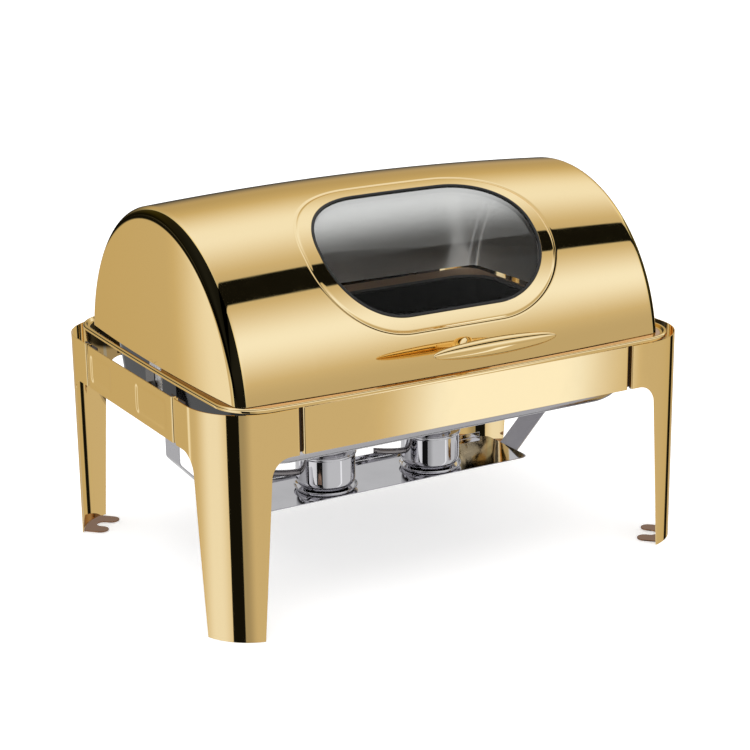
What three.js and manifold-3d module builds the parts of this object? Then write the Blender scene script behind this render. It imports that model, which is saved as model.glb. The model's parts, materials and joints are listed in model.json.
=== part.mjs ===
// Roll-top chafing dish food warmer: a four-legged sheet-metal stand, a pan ring with a water pan
// and a food pan, a roll-top lid with a window, and a burner tray hung under the pan.
// Millimetres, +Z up, floor at z = 0. X runs along the length, -Y is the front.
import * as THREE from 'three';
import { mergeVertices } from 'three/addons/utils/BufferGeometryUtils.js';
import Module from 'manifold-3d';

const wasm = await Module();
wasm.setup();

// ---------------------------------------------------------------- driving dimensions
const GAP = 0.3;
const SHEET = 1.2;

const FRAME = {
  halfLength: 320,
  halfDepth: 229.5,
  top: 260,
  bandHeight: 52.7,
  cornerRadius: 72,
  frontSeamX: 218,
  sideSeamY: 123.5,
  seamGap: 5,
};
FRAME.bandBottom = FRAME.top - FRAME.bandHeight;

const LEG = {
  shoulderRadius: 23,
  frontWidthTop: 65,
  frontWidthFoot: 53,
  sideWidthTop: 60,
  sideWidthFoot: 47,
};

const FOOT = { thickness: 1.5, reach: 34, lobeHalfWidth: 27, slotHalfWidth: 8, slotDepth: 22 };

const RAIL = {
  bendRadius: 3,
  endReturn: 6,
  panels: [[-106, -20], [50, 114]],
  panelMargin: 7,
  panelRadius: 9,
  panelDepth: 1,
};

const LAP = { halfWidth: 18, height: 50, thickness: 1.2 };

const AXIS_Z = 235;

const LID = {
  halfLength: 281.5,
  endRadius: 204.8,
  barrelBow: 9.6,
  endBow: 6.5,
  fillet: 14,
  base: 262,
  facets: 72,
};

const WINDOW = {
  middleAngle: 50,
  halfWidth: 142,
  halfHeight: 90,
  cornerRadius: 84,
  radius: 213,
  glassThickness: 3,
  glassOverlap: 8,
  gasketWidth: 3.5,
  gasketProud: 0.6,
  retainerLap: 2,
};

const RING = {
  halfLength: 296,
  halfDepth: 226,
  cornerRadius: 46,
  endBow: 4,
  sideBow: 6,
  beadWidth: 8,
  beadHeight: 5,
  bottom: FRAME.top + GAP,
};

const DECK = { halfLength: 272, rear: 199, cornerRadius: 26 };

const SLOT = { halfLength: 290.5, rear: 213, rearBow: 4, front: -20, cornerRadius: 16 };

const FOOD = {
  rimHalfLength: 265,
  rimHalfDepth: 162.5,
  halfLength: 252,
  halfDepth: 149.5,
  depth: 65,
  cornerRadius: 43,
  wall: 1,
  wallSlope: 7,
  floorInsetX: 3,
  floorInsetY: 3,
  floorRise: 3,
  clearance: 2,
};

const WATER = {
  halfLength: 267,
  halfDepth: 192,
  bottom: 180,
  cornerRadius: 48,
  wall: 1,
  wallSlope: 7,
  floorInsetX: 30,
  floorInsetY: 9,
  floorRise: 20,
};

const TRAY = { halfLength: 200, halfDepth: 50, top: 74, thickness: 1.2, lip: 6 };

const HANGER = {
  x: 269,
  kneeZ: 141,
  footX: 202,
  footLength: 24,
  halfWidth: 19,
  thickness: 1.5,
  top: 254,
};

const BURNER = {
  centres: { left: -73, right: 76 },
  y: -11,
  radius: 36.5,
  height: 46,
  wall: 1.2,
  footRound: 6,
  rimFlare: 1.5,
  rimHeight: 2,
  saucerRadius: 39,
  saucerRim: 5,
  saucerFlare: 3,
  cupRadius: 30,
  cupHeight: 39,
  collarRadius: 27.5,
  collarHeight: 8,
  collarLip: 4,
};

const GRIP = { heightShare: 0.6, length: 44, halfWidth: 5, tab: 12, rise: 6, thickness: 6 };

const PIVOT = {
  pinRadius: 4,
  holeRadius: 4.4,
  headRadius: 7,
  headThickness: 2.5,
  tipLength: 7,
  spacerRadius: 6.5,
  nutRadius: 7,
  nutThickness: 5,
  earX: 284.3,
  earThickness: 1.5,
  earHalfWidth: 15,
  earTop: 32,
  bracketX: 291,
  bracketThickness: 1.5,
  bracketHalfWidth: 12,
  bracketDrop: 13,
  flangeLength: 6,
};

const HANDLE = {
  halfLength: 80,
  midRadius: 10,
  endRadius: 5,
  y: -272,
  z: 305.5,
  stemRadius: 6,
  padRadius: 11,
  padThickness: 11,
  flareLength: 7,
  padBite: 8,
  screwRadius: 5,
  screwLength: 9,
};

// The origin is the middle of the bounding box, from the front of the handle to the rear of the pan ring.
const FRONT_REACH = HANDLE.y - HANDLE.midRadius;
const REAR_REACH = RING.halfDepth + RING.sideBow;
const SHIFT_Y = -(FRONT_REACH + REAR_REACH) / 2;

// ---------------------------------------------------------------- materials
const metal = (color, roughness) => new THREE.MeshStandardMaterial({ color, roughness, metalness: 1 });
const MATERIAL = {
  gold: metal(0xc9a05f, 0.12),
  steel: metal(0xb8bac0, 0.15),
  darkPan: new THREE.MeshStandardMaterial({ color: 0x26262a, roughness: 0.4, metalness: 0.6 }),
  glass: new THREE.MeshStandardMaterial({
    color: 0xdde6ea,
    roughness: 0.03,
    transparent: true,
    opacity: 0.35,
  }),
  rubber: new THREE.MeshStandardMaterial({ color: 0x111111, roughness: 0.7 }),
};

// ---------------------------------------------------------------- solids: join and cut
// Makes a solid from a closed geometry: shared corners are merged and the faces are turned outward.
function solid(geometry) {
  const bare = geometry.clone();
  bare.deleteAttribute('normal');
  bare.deleteAttribute('uv');
  const merged = mergeVertices(bare, 1e-4);
  const index = merged.index.array;
  const triangles = [];
  for (let i = 0; i < index.length; i += 3) {
    const [a, b, c] = [index[i], index[i + 1], index[i + 2]];
    if (a !== b && b !== c && c !== a) triangles.push([a, b, c]);
  }
  const vertProperties = new Float32Array(merged.attributes.position.array);
  const build = (list) => {
    const triVerts = new Uint32Array(list.flat());
    return new wasm.Manifold(new wasm.Mesh({ numProp: 3, vertProperties, triVerts }));
  };
  const shape = build(triangles);
  return shape.volume() > 0 ? shape : build(triangles.map(([a, b, c]) => [a, c, b]));
}

function geometryOf(shape) {
  const mesh = shape.getMesh();
  const geometry = new THREE.BufferGeometry();
  geometry.setAttribute('position', new THREE.BufferAttribute(new Float32Array(mesh.vertProperties), 3));
  geometry.setIndex(new THREE.BufferAttribute(new Uint32Array(mesh.triVerts), 1));
  geometry.computeVertexNormals();
  return geometry;
}

const model = new THREE.Group();
model.position.y = SHIFT_Y;

function addNode(name, shape, material) {
  const mesh = new THREE.Mesh(geometryOf(shape), MATERIAL[material].clone());
  mesh.name = name;
  model.add(mesh);
}

// ---------------------------------------------------------------- outlines
const point = (x, y) => new THREE.Vector2(x, y);

// Points of an arc, both ends included. Angles are in degrees.
function arc(cx, cy, radius, from, to, steps = 6) {
  return Array.from({ length: steps + 1 }, (_, i) => {
    const angle = THREE.MathUtils.degToRad(from + ((to - from) * i) / steps);
    return point(cx + radius * Math.cos(angle), cy + radius * Math.sin(angle));
  });
}

// A rounded rectangle round the origin. A bow lets a pair of sides swell outward in the middle.
function roundedRectangle(halfX, halfY, radius, bowX = 0, bowY = 0) {
  const corners = [
    arc(halfX - radius, -halfY + radius, radius, -90, 0),
    arc(halfX - radius, halfY - radius, radius, 0, 90),
    arc(-halfX + radius, halfY - radius, radius, 90, 180),
    arc(-halfX + radius, -halfY + radius, radius, 180, 270),
  ];
  const swell = (p) => point(
    p.x + Math.sign(p.x) * bowX * (1 - (p.y / halfY) ** 2),
    p.y + Math.sign(p.y) * bowY * (1 - (p.x / halfX) ** 2),
  );
  const points = [];
  corners.forEach((corner, i) => {
    points.push(...corner);
    const next = corners[(i + 1) % 4][0];
    const last = corner[corner.length - 1];
    const steps = bowX || bowY ? 8 : 1;
    for (let k = 1; k < steps; k += 1) points.push(last.clone().lerp(next, k / steps));
  });
  return bowX || bowY ? points.map(swell) : points;
}

// The outline of a bent sheet whose one face follows the path.
function sheetOutline(path, thickness) {
  const normals = path.slice(1).map((p, i) => {
    const along = p.clone().sub(path[i]).normalize();
    return point(-along.y, along.x);
  });
  const offset = path.map((p, i) => {
    const before = normals[Math.max(i - 1, 0)];
    const after = normals[Math.min(i, normals.length - 1)];
    const sum = before.clone().add(after);
    return p.clone().addScaledVector(sum, (2 * thickness) / sum.lengthSq());
  });
  return [...path, ...offset.reverse()];
}

// ---------------------------------------------------------------- extrusions and turned pieces
function extrude(points, depth, holes = []) {
  const shape = new THREE.Shape(points);
  shape.holes = holes.map((hole) => new THREE.Path(hole));
  return new THREE.ExtrudeGeometry(shape, { depth, bevelEnabled: false });
}

const alongZ = (points, z0, z1, holes) => solid(extrude(points, z1 - z0, holes).translate(0, 0, z0));

// The outline's coordinates are (x, z).
const alongY = (points, y0, y1, holes) =>
  solid(extrude(points, y1 - y0, holes).rotateX(Math.PI / 2).translate(0, y1, 0));

// The outline's coordinates are (y, z).
function alongX(points, x0, x1, holes) {
  const turn = new THREE.Matrix4().makeBasis(
    new THREE.Vector3(0, 1, 0),
    new THREE.Vector3(0, 0, 1),
    new THREE.Vector3(1, 0, 0),
  );
  return solid(extrude(points, x1 - x0, holes).applyMatrix4(turn).translate(x0, 0, 0));
}

function box(x0, x1, y0, y1, z0, z1) {
  const geometry = new THREE.BoxGeometry(x1 - x0, y1 - y0, z1 - z0);
  return solid(geometry.translate((x0 + x1) / 2, (y0 + y1) / 2, (z0 + z1) / 2));
}

// A turned piece on an upright axis. The profile's coordinates are (radius, z).
function turned(profile, x, y, z, steps = 32) {
  const geometry = new THREE.LatheGeometry(profile.map(([r, h]) => point(r, h)), steps);
  return solid(geometry.rotateX(Math.PI / 2).translate(x, y, z));
}

// A turned piece on the X direction. The profile's coordinates are (radius, x).
const turnedAlongX = (profile, y, z, steps = 32) =>
  solid(new THREE.LatheGeometry(profile, steps).rotateZ(-Math.PI / 2).translate(0, y, z));

// A plain cylinder on the X direction.
const rod = (x0, x1, y, z, radius, steps = 16) =>
  turnedAlongX([point(0, x0), point(radius, x0), point(radius, x1), point(0, x1)], y, z, steps);

// A solid through a stack of outlines of equal length, each [outline, z], bottom first.
function stacked(levels) {
  const count = levels[0][0].length;
  const positions = levels.flatMap(([outline, z]) => outline.flatMap((p) => [p.x, p.y, z]));
  const faces = THREE.ShapeUtils.triangulateShape(levels[0][0], []);
  const top = (levels.length - 1) * count;
  const index = faces.flatMap(([a, b, c]) => [c, b, a, a + top, b + top, c + top]);
  for (let level = 0; level < levels.length - 1; level += 1) {
    for (let i = 0; i < count; i += 1) {
      const a = level * count + i;
      const b = level * count + ((i + 1) % count);
      index.push(a, b, b + count, a, b + count, a + count);
    }
  }
  const geometry = new THREE.BufferGeometry();
  geometry.setAttribute('position', new THREE.Float32BufferAttribute(positions, 3));
  geometry.setIndex(index);
  return solid(geometry);
}

// ---------------------------------------------------------------- stand
// sx and sy say which corner: -1 is left or front, 1 is right or rear.
function cornerShell(sx, sy) {
  const { halfLength, halfDepth, cornerRadius, frontSeamX, sideSeamY, seamGap, top } = FRAME;
  const path = (inset) => [
    point(frontSeamX + seamGap / 2, halfDepth - inset),
    ...arc(halfLength - cornerRadius, halfDepth - cornerRadius, cornerRadius - inset, 90, 0, 14),
    point(halfLength - inset, sideSeamY + seamGap / 2),
  ];
  const outline = [...path(0), ...path(SHEET).reverse()];
  return alongZ(outline.map((p) => point(sx * p.x, sy * p.y)), 0, top);
}

// The air beside a leg, as seen face on: everything inward of the flange and below the band.
function besideLeg(outer, widthTop, widthFoot) {
  const { shoulderRadius: r } = LEG;
  const below = -1;
  return [
    point(outer - widthFoot, below),
    ...arc(outer - widthTop - r, FRAME.bandBottom - r, r, 0, 90),
    point(0, FRAME.bandBottom),
    point(0, below),
  ];
}

function leg(sx, sy) {
  const flip = (points, sign) => points.map((p) => point(sign * p.x, p.y));
  const front = flip(besideLeg(FRAME.halfLength, LEG.frontWidthTop, LEG.frontWidthFoot), sx);
  const side = flip(besideLeg(FRAME.halfDepth, LEG.sideWidthTop, LEG.sideWidthFoot), sy);
  const reach = FRAME.halfLength + 10;
  return cornerShell(sx, sy)
    .subtract(alongY(front, -reach, reach))
    .subtract(alongX(side, -reach, reach));
}

// A slotted plate in the bottom of the leg. Along the diagonal, 0 is the leg's inner face.
function foot(sx, sy) {
  const inner = FRAME.cornerRadius - SHEET - GAP;
  const { reach, lobeHalfWidth, slotHalfWidth, slotDepth, thickness } = FOOT;
  const lobe = (lobeHalfWidth - slotHalfWidth) / 2;
  const lobeMiddle = slotHalfWidth + lobe;
  const sweep = THREE.MathUtils.radToDeg(Math.asin(lobeHalfWidth / inner));
  const tip = inner - reach + lobe;
  const slotRoot = inner - reach + slotDepth - slotHalfWidth;
  const diagonal = [
    ...arc(0, 0, inner, -sweep, sweep, 6),
    ...arc(tip, lobeMiddle, lobe, 90, 270),
    ...arc(slotRoot, 0, slotHalfWidth, 90, -90),
    ...arc(tip, -lobeMiddle, lobe, 90, 270),
  ];
  const cx = FRAME.halfLength - FRAME.cornerRadius;
  const cy = FRAME.halfDepth - FRAME.cornerRadius;
  const place = (p) => {
    const turnedPoint = p.clone().rotateAround(point(0, 0), Math.PI / 4);
    return point(sx * (cx + turnedPoint.x), sy * (cy + turnedPoint.y));
  };
  return alongZ(diagonal.map(place), 0, thickness);
}

// A rail seen from above, drawn for a face at y = -face: a flat plate with its ends bent inward.
function railPlan(face, halfLength) {
  const { bendRadius: r, endReturn } = RAIL;
  const path = (inset) => [
    point(-halfLength + inset, -face + endReturn),
    ...arc(-halfLength + r, -face + r, r - inset, 180, 270, 5),
    ...arc(halfLength - r, -face + r, r - inset, -90, 0, 5),
    point(halfLength - inset, -face + endReturn),
  ];
  return [...path(0), ...path(SHEET).reverse()];
}

function longRail(sy) {
  const plan = railPlan(FRAME.halfDepth, FRAME.frontSeamX - FRAME.seamGap / 2);
  return alongZ(plan.map((p) => point(p.x, -sy * p.y)), FRAME.bandBottom, FRAME.top);
}

// The side rails carry two pressed panels each, sunk below the face.
function sideRail(sx) {
  const face = FRAME.halfLength;
  const plan = railPlan(face, FRAME.sideSeamY - FRAME.seamGap / 2).map((p) => point(-sx * p.y, p.x));
  const { panels, panelMargin, panelRadius, panelDepth } = RAIL;
  const middleZ = FRAME.top - FRAME.bandHeight / 2;
  const halfZ = FRAME.bandHeight / 2 - panelMargin;
  let rail = alongZ(plan, FRAME.bandBottom, FRAME.top);
  for (const [front, rear] of panels) {
    const halfY = (rear - front) / 2;
    const panel = (grow) => roundedRectangle(halfY + grow, halfZ + grow, panelRadius + grow)
      .map((p) => point(p.x + (front + rear) / 2, p.y + middleZ));
    const slab = (outline, from, to) => alongX(outline, ...[sx * from, sx * to].sort((a, b) => a - b));
    rail = rail
      .add(slab(panel(SHEET), face - panelDepth - SHEET, face - SHEET / 2))
      .subtract(slab(panel(0), face - panelDepth, face + 1));
  }
  return rail;
}

// A flat plate behind each seam that joins the leg's flange to the rail's end.
function longLap(sx, sy) {
  const { halfWidth, height, thickness } = LAP;
  const face = FRAME.halfDepth - RAIL.endReturn - GAP;
  const x = sx * FRAME.frontSeamX;
  const bottom = FRAME.top - (FRAME.bandHeight + height) / 2;
  const [y0, y1] = [sy * face, sy * (face - thickness)].sort((a, b) => a - b);
  return box(x - halfWidth, x + halfWidth, y0, y1, bottom, bottom + height);
}

function sideLap(sx, sy) {
  const { halfWidth, height, thickness } = LAP;
  const face = FRAME.halfLength - RAIL.endReturn - GAP;
  const y = sy * FRAME.sideSeamY;
  const bottom = FRAME.top - (FRAME.bandHeight + height) / 2;
  const [x0, x1] = [sx * face, sx * (face - thickness)].sort((a, b) => a - b);
  return box(x0, x1, y - halfWidth, y + halfWidth, bottom, bottom + height);
}

function addStand() {
  for (const [sx, side] of [[-1, 'left'], [1, 'right']]) {
    for (const [sy, end] of [[-1, 'front'], [1, 'rear']]) {
      addNode(`leg_${end}_${side}`, leg(sx, sy), 'gold');
      addNode(`foot_${end}_${side}`, foot(sx, sy), 'gold');
      addNode(`lap_plate_${end}_${side}`, longLap(sx, sy), 'gold');
      addNode(`lap_plate_${side}_${end}`, sideLap(sx, sy), 'gold');
    }
    addNode(`rail_${side}`, sideRail(sx), 'gold');
  }
  addNode('rail_front', longRail(-1), 'gold');
  addNode('rail_rear', longRail(1), 'gold');
}

// ---------------------------------------------------------------- pan ring and pans
// The ring is one pressed sheet: a rim bead outside, a ledge, and a deck that carries the food pan.
// A U-shaped slot at the rear lets the lid roll down between the rim and the deck.
function panRing() {
  const outline = (inset) => {
    const { halfLength, halfDepth, cornerRadius, endBow, sideBow } = RING;
    return roundedRectangle(halfLength - inset, halfDepth - inset, cornerRadius - inset, endBow, sideBow);
  };
  const outer = outline(0);
  const inside = outline(RING.beadWidth);
  const z = RING.bottom;
  const { halfLength, halfDepth, cornerRadius, clearance } = FOOD;
  const opening = roundedRectangle(halfLength + clearance, halfDepth + clearance, cornerRadius + clearance);
  const plate = alongZ(outer, z, z + SHEET, [opening]);
  const bead = alongZ(outer, z, z + RING.beadHeight, [inside]);
  return plate.add(bead).subtract(lidSlot(z));
}

function lidSlot(z) {
  const [below, above] = [z - 5, z + SHEET + 5];
  const { halfLength, rear, cornerRadius, rearBow } = SLOT;
  const outer = alongZ(roundedRectangle(halfLength, rear, cornerRadius, 0, rearBow), below, above);
  const deck = alongZ(roundedRectangle(DECK.halfLength, DECK.rear, DECK.cornerRadius), below - 1, above + 1);
  const reach = FRAME.halfLength;
  return outer.subtract(deck).intersect(box(-reach, reach, SLOT.front, reach, below, above));
}

// A deep-drawn tub, open at the top: a chamfer round the floor, then a wall that leans outward.
function tub(pan, bottom, rimZ, shrink) {
  const { halfLength, halfDepth, cornerRadius, wallSlope, floorInsetX, floorInsetY, floorRise } = pan;
  const level = (slopeX, slopeY, z) => {
    const corner = cornerRadius - Math.min(slopeX, slopeY) - shrink;
    return [roundedRectangle(halfLength - slopeX - shrink, halfDepth - slopeY - shrink, corner), z];
  };
  return stacked([
    level(wallSlope + floorInsetX, wallSlope + floorInsetY, bottom),
    level(wallSlope, wallSlope, bottom + floorRise),
    level(0, 0, rimZ),
  ]);
}

const hollow = (pan, bottom, rimZ) => tub(pan, bottom + pan.wall, rimZ + 1, pan.wall);

function waterPan() {
  const rimZ = RING.bottom - GAP;
  return tub(WATER, WATER.bottom, rimZ, 0).subtract(hollow(WATER, WATER.bottom, rimZ));
}

function foodPan() {
  const { rimHalfLength, rimHalfDepth, cornerRadius, wall, depth } = FOOD;
  const rimBottom = RING.bottom + SHEET + GAP;
  const rimZ = rimBottom + wall;
  const rimCorner = cornerRadius + rimHalfLength - FOOD.halfLength;
  const rim = alongZ(roundedRectangle(rimHalfLength, rimHalfDepth, rimCorner), rimBottom, rimZ);
  return tub(FOOD, rimBottom - depth, rimZ, 0).add(rim).subtract(hollow(FOOD, rimBottom - depth, rimZ));
}

function addPans() {
  addNode('pan_ring', panRing(), 'gold');
  addNode('water_pan', waterPan(), 'steel');
  addNode('food_pan', foodPan(), 'darkPan');
}

// ---------------------------------------------------------------- burner tray
function hanger(sx) {
  const { x, kneeZ, footX, footLength, halfWidth, thickness, top } = HANGER;
  const footZ = TRAY.top - TRAY.thickness - GAP - thickness;
  const path = [point(x, top), point(x, kneeZ), point(footX, footZ), point(footX - footLength, footZ)];
  const outline = sheetOutline(path, -thickness).map((p) => point(sx * p.x, p.y));
  return alongY(outline, -halfWidth, halfWidth);
}

function burnerTray() {
  const { halfLength, halfDepth, top, thickness, lip } = TRAY;
  const bottom = top - thickness;
  const path = [point(-halfDepth, bottom), point(halfDepth, bottom), point(halfDepth, top + lip)];
  return alongX(sheetOutline(path, thickness), -halfLength, halfLength);
}

function burnerSaucer(x, z) {
  const { saucerRadius, saucerRim, saucerFlare, wall } = BURNER;
  return turned([
    [0, 0],
    [saucerRadius - saucerFlare, 0],
    [saucerRadius, saucerRim],
    [saucerRadius - wall, saucerRim],
    [saucerRadius - saucerFlare - wall, wall],
    [0, wall],
  ], x, BURNER.y, z);
}

function burnerPot(x, z) {
  const { radius, height, wall, footRound, rimFlare, rimHeight } = BURNER;
  return turned([
    [0, 0],
    [radius - footRound, 0],
    [radius, footRound],
    [radius, height - rimHeight],
    [radius + rimFlare, height],
    [radius - wall, height],
    [radius - wall, footRound],
    [radius - footRound, wall],
    [0, wall],
  ], x, BURNER.y, z);
}

function fuelCup(x, z) {
  const { cupRadius, cupHeight, wall } = BURNER;
  return turned([
    [0, 0],
    [cupRadius, 0],
    [cupRadius, cupHeight],
    [cupRadius - wall, cupHeight],
    [cupRadius - wall, wall],
    [0, wall],
  ], x, BURNER.y, z);
}

// The collar lies on the pot's rim and carries a short neck round the flame's opening.
function burnerCollar(x, z) {
  const { radius, rimFlare, wall, collarRadius, collarHeight, collarLip } = BURNER;
  const hole = collarRadius - collarLip;
  return turned([
    [hole, 0],
    [radius + rimFlare, 0],
    [radius + rimFlare, wall],
    [collarRadius, wall],
    [collarRadius, collarHeight],
    [collarRadius - wall, collarHeight],
    [collarRadius - wall, wall],
    [hole, wall],
    [hole, 0],
  ], x, BURNER.y, z);
}

// A bar that hooks down the pot's side and rises outward to the left.
function burnerGrip(x, potZ) {
  const startX = x - BURNER.radius - GAP;
  const z = potZ + BURNER.height * GRIP.heightShare;
  const path = [point(startX, z - GRIP.tab), point(startX, z), point(startX - GRIP.length, z + GRIP.rise)];
  return alongY(sheetOutline(path, GRIP.thickness), BURNER.y - GRIP.halfWidth, BURNER.y + GRIP.halfWidth);
}

function addBurner(side) {
  const x = BURNER.centres[side];
  const saucerZ = TRAY.top + GAP;
  const potZ = saucerZ + BURNER.wall + GAP;
  addNode(`burner_saucer_${side}`, burnerSaucer(x, saucerZ), 'steel');
  addNode(`burner_pot_${side}`, burnerPot(x, potZ), 'steel');
  addNode(`fuel_cup_${side}`, fuelCup(x, potZ + BURNER.wall + GAP), 'steel');
  addNode(`burner_collar_${side}`, burnerCollar(x, potZ + BURNER.height + GAP), 'steel');
  addNode(`burner_handle_${side}`, burnerGrip(x, potZ), 'steel');
}

function addBurnerTray() {
  addNode('hanger_left', hanger(-1), 'steel');
  addNode('hanger_right', hanger(1), 'steel');
  addNode('burner_tray', burnerTray(), 'steel');
  addBurner('left');
  addBurner('right');
}

// ---------------------------------------------------------------- roll-top lid
// The barrel is a surface of revolution about the hinge, so it keeps its clearance as it rolls.
const barrelRadius = (x) => LID.endRadius + LID.barrelBow * (1 - (x / LID.halfLength) ** 2);

// Half of the lid's outline, as (radius, x) from the middle of the barrel to the middle of the end wall.
function lidHalfProfile(inset) {
  const fillet = LID.fillet - inset;
  const halfLength = LID.halfLength - inset;
  const barrelEnd = halfLength - fillet;
  const barrelSteps = 5;
  const endSteps = 3;
  const barrel = Array.from({ length: barrelSteps }, (_, i) => {
    const x = (barrelEnd * i) / barrelSteps;
    return point(barrelRadius(x) - inset, x);
  });
  const shoulder = barrelRadius(barrelEnd) - inset - fillet;
  const round = arc(shoulder, barrelEnd, fillet, 0, 90, 3);
  const endWall = Array.from({ length: endSteps }, (_, i) => {
    const share = 1 - (i + 1) / endSteps;
    return point(shoulder * share, halfLength + LID.endBow * (1 - share ** 2));
  });
  return [...barrel, ...round, ...endWall];
}

// The lid's full round body, taken in from the outer surface by the inset.
function roundBody(inset) {
  const half = lidHalfProfile(inset);
  const mirrored = half.slice(1).map((p) => point(p.x, -p.y)).reverse();
  return turnedAlongX([...mirrored, ...half], 0, AXIS_Z, LID.facets);
}

const layer = (outside, inside) => roundBody(outside).subtract(roundBody(inside));

// The window's outline on the barrel, pushed outward through the barrel wall as one solid.
function windowPrism(grow) {
  const { middleAngle, halfWidth, halfHeight, cornerRadius, radius } = WINDOW;
  // The tiny bow only makes the outline divide its long sides, so that they can follow the barrel.
  const bow = 0.001;
  const outline = roundedRectangle(halfWidth + grow, halfHeight + grow, cornerRadius + grow, bow, bow);
  const middle = THREE.MathUtils.degToRad(middleAngle);
  const [inside, outside] = [radius * 0.7, radius * 1.27];
  const place = (p, r) => {
    const angle = middle + p.y / radius;
    return [p.x, -r * Math.cos(angle), AXIS_Z + r * Math.sin(angle)];
  };
  const count = outline.length;
  const positions = [inside, outside].flatMap((r) => outline.flatMap((p) => place(p, r)));
  const index = THREE.ShapeUtils.triangulateShape(outline, [])
    .flatMap(([a, b, c]) => [c, b, a, a + count, b + count, c + count]);
  for (let i = 0; i < count; i += 1) {
    const next = (i + 1) % count;
    index.push(i, next, next + count, i, next + count, i + count);
  }
  const geometry = new THREE.BufferGeometry();
  geometry.setAttribute('position', new THREE.Float32BufferAttribute(positions, 3));
  geometry.setIndex(index);
  return solid(geometry);
}

function domeShell() {
  const reach = FRAME.halfLength;
  const above = box(-reach, reach, -reach, reach, LID.base, AXIS_Z + reach);
  return layer(0, SHEET).intersect(above).subtract(windowPrism(0));
}

// The glass lies behind the opening; the gasket fills the step in front of it and the retainer holds it.
function addWindow() {
  const { glassThickness, glassOverlap, gasketWidth, gasketProud, retainerLap } = WINDOW;
  const glassFront = SHEET + GAP;
  const glassBack = glassFront + glassThickness;
  const retainerFront = glassBack + GAP;
  const pane = windowPrism(glassOverlap);
  const lip = windowPrism(-GAP).subtract(windowPrism(-gasketWidth));
  const frame = pane.subtract(windowPrism(-retainerLap));
  addNode('window_glass', layer(glassFront, glassBack).intersect(pane), 'glass');
  addNode('window_gasket', layer(-gasketProud, glassFront - GAP).intersect(lip), 'rubber');
  addNode('window_retainer', layer(retainerFront, retainerFront + SHEET).intersect(frame), 'steel');
}

// A spindle, fattened by grow where its neighbours are cut back from it.
function handleBar(grow) {
  const steps = 12;
  const { halfLength, midRadius, endRadius } = HANDLE;
  const profile = Array.from({ length: steps + 1 }, (_, i) => {
    const share = -1 + (2 * i) / steps;
    const swell = endRadius + (midRadius - endRadius) * Math.cos((share * Math.PI) / 2);
    const round = Math.sqrt(1 - share ** 8);
    return point((swell + grow) * round, share * halfLength);
  });
  return turnedAlongX(profile, HANDLE.y, HANDLE.z, 20);
}

// The stem and its screw lie on the line from the bar to the hinge. Both are drawn along +Y from the
// middle of the bar, then set on that line.
const HANDLE_REACH = Math.hypot(HANDLE.y, HANDLE.z - AXIS_Z);
const HANDLE_RISE = Math.atan2(HANDLE.z - AXIS_Z, -HANDLE.y);
const onHandleLine = (geometry) => geometry.rotateX(-HANDLE_RISE).translate(0, HANDLE.y, HANDLE.z);

// The stem runs from the back of the bar to a flared pad on the barrel.
function handleStem() {
  const { stemRadius, padRadius, padThickness, flareLength, padBite } = HANDLE;
  const length = HANDLE_REACH - barrelRadius(0) + padBite;
  const padStart = length - padThickness;
  const stem = new THREE.LatheGeometry([
    point(0, 0),
    point(stemRadius, 0),
    point(stemRadius, padStart - flareLength),
    point(padRadius, padStart),
    point(padRadius, length),
    point(0, length),
  ], 20);
  return solid(onHandleLine(stem)).subtract(roundBody(-GAP)).subtract(handleBar(GAP));
}

// The screw's head sits against the inside of the barrel.
function handleScrew() {
  const { screwRadius, screwLength } = HANDLE;
  const head = new THREE.CylinderGeometry(screwRadius, screwRadius, screwLength, 24);
  const start = HANDLE_REACH - barrelRadius(0);
  return solid(onHandleLine(head.translate(0, start + screwLength / 2, 0))).intersect(roundBody(SHEET + GAP));
}

function addHandle() {
  addNode('handle_bar', handleBar(0), 'gold');
  addNode('handle_stem', handleStem(), 'gold');
  addNode('handle_screw', handleScrew(), 'steel');
}

// ---------------------------------------------------------------- lid pivots
const pivotHole = (radius) => arc(0, AXIS_Z, radius, 0, 360 - 15, 23);

// A flat plate inside the lid's end, hung from its lower edge round the pin.
function ear(from, to) {
  const { earHalfWidth: w, earTop, holeRadius } = PIVOT;
  const top = LID.base + earTop;
  const outline = [...arc(0, AXIS_Z, w, 180, 360, 12), point(w, top), point(-w, top)];
  return alongX(outline, from, to, [pivotHole(holeRadius)]);
}

// An angle under the ring's side: a plate that the pin passes through, and a flange to the ring.
function bracket(plateSpan, flangeSpan) {
  const { bracketHalfWidth: w, bracketDrop, bracketThickness, pinRadius } = PIVOT;
  const top = RING.bottom - GAP;
  const lower = AXIS_Z - bracketDrop;
  const outline = [point(-w, lower), point(w, lower), point(w, top), point(-w, top)];
  const plate = alongX(outline, ...plateSpan, [pivotHole(pinRadius + GAP)]);
  return plate.add(box(...flangeSpan, -w, w, top - bracketThickness, top));
}

// A collar round the pin, with a little play.
function pinCollar([from, to], radius, steps) {
  const bore = rod(from - 1, to + 1, 0, AXIS_Z, PIVOT.pinRadius + GAP);
  return rod(from, to, 0, AXIS_Z, radius, steps).subtract(bore);
}

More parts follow.
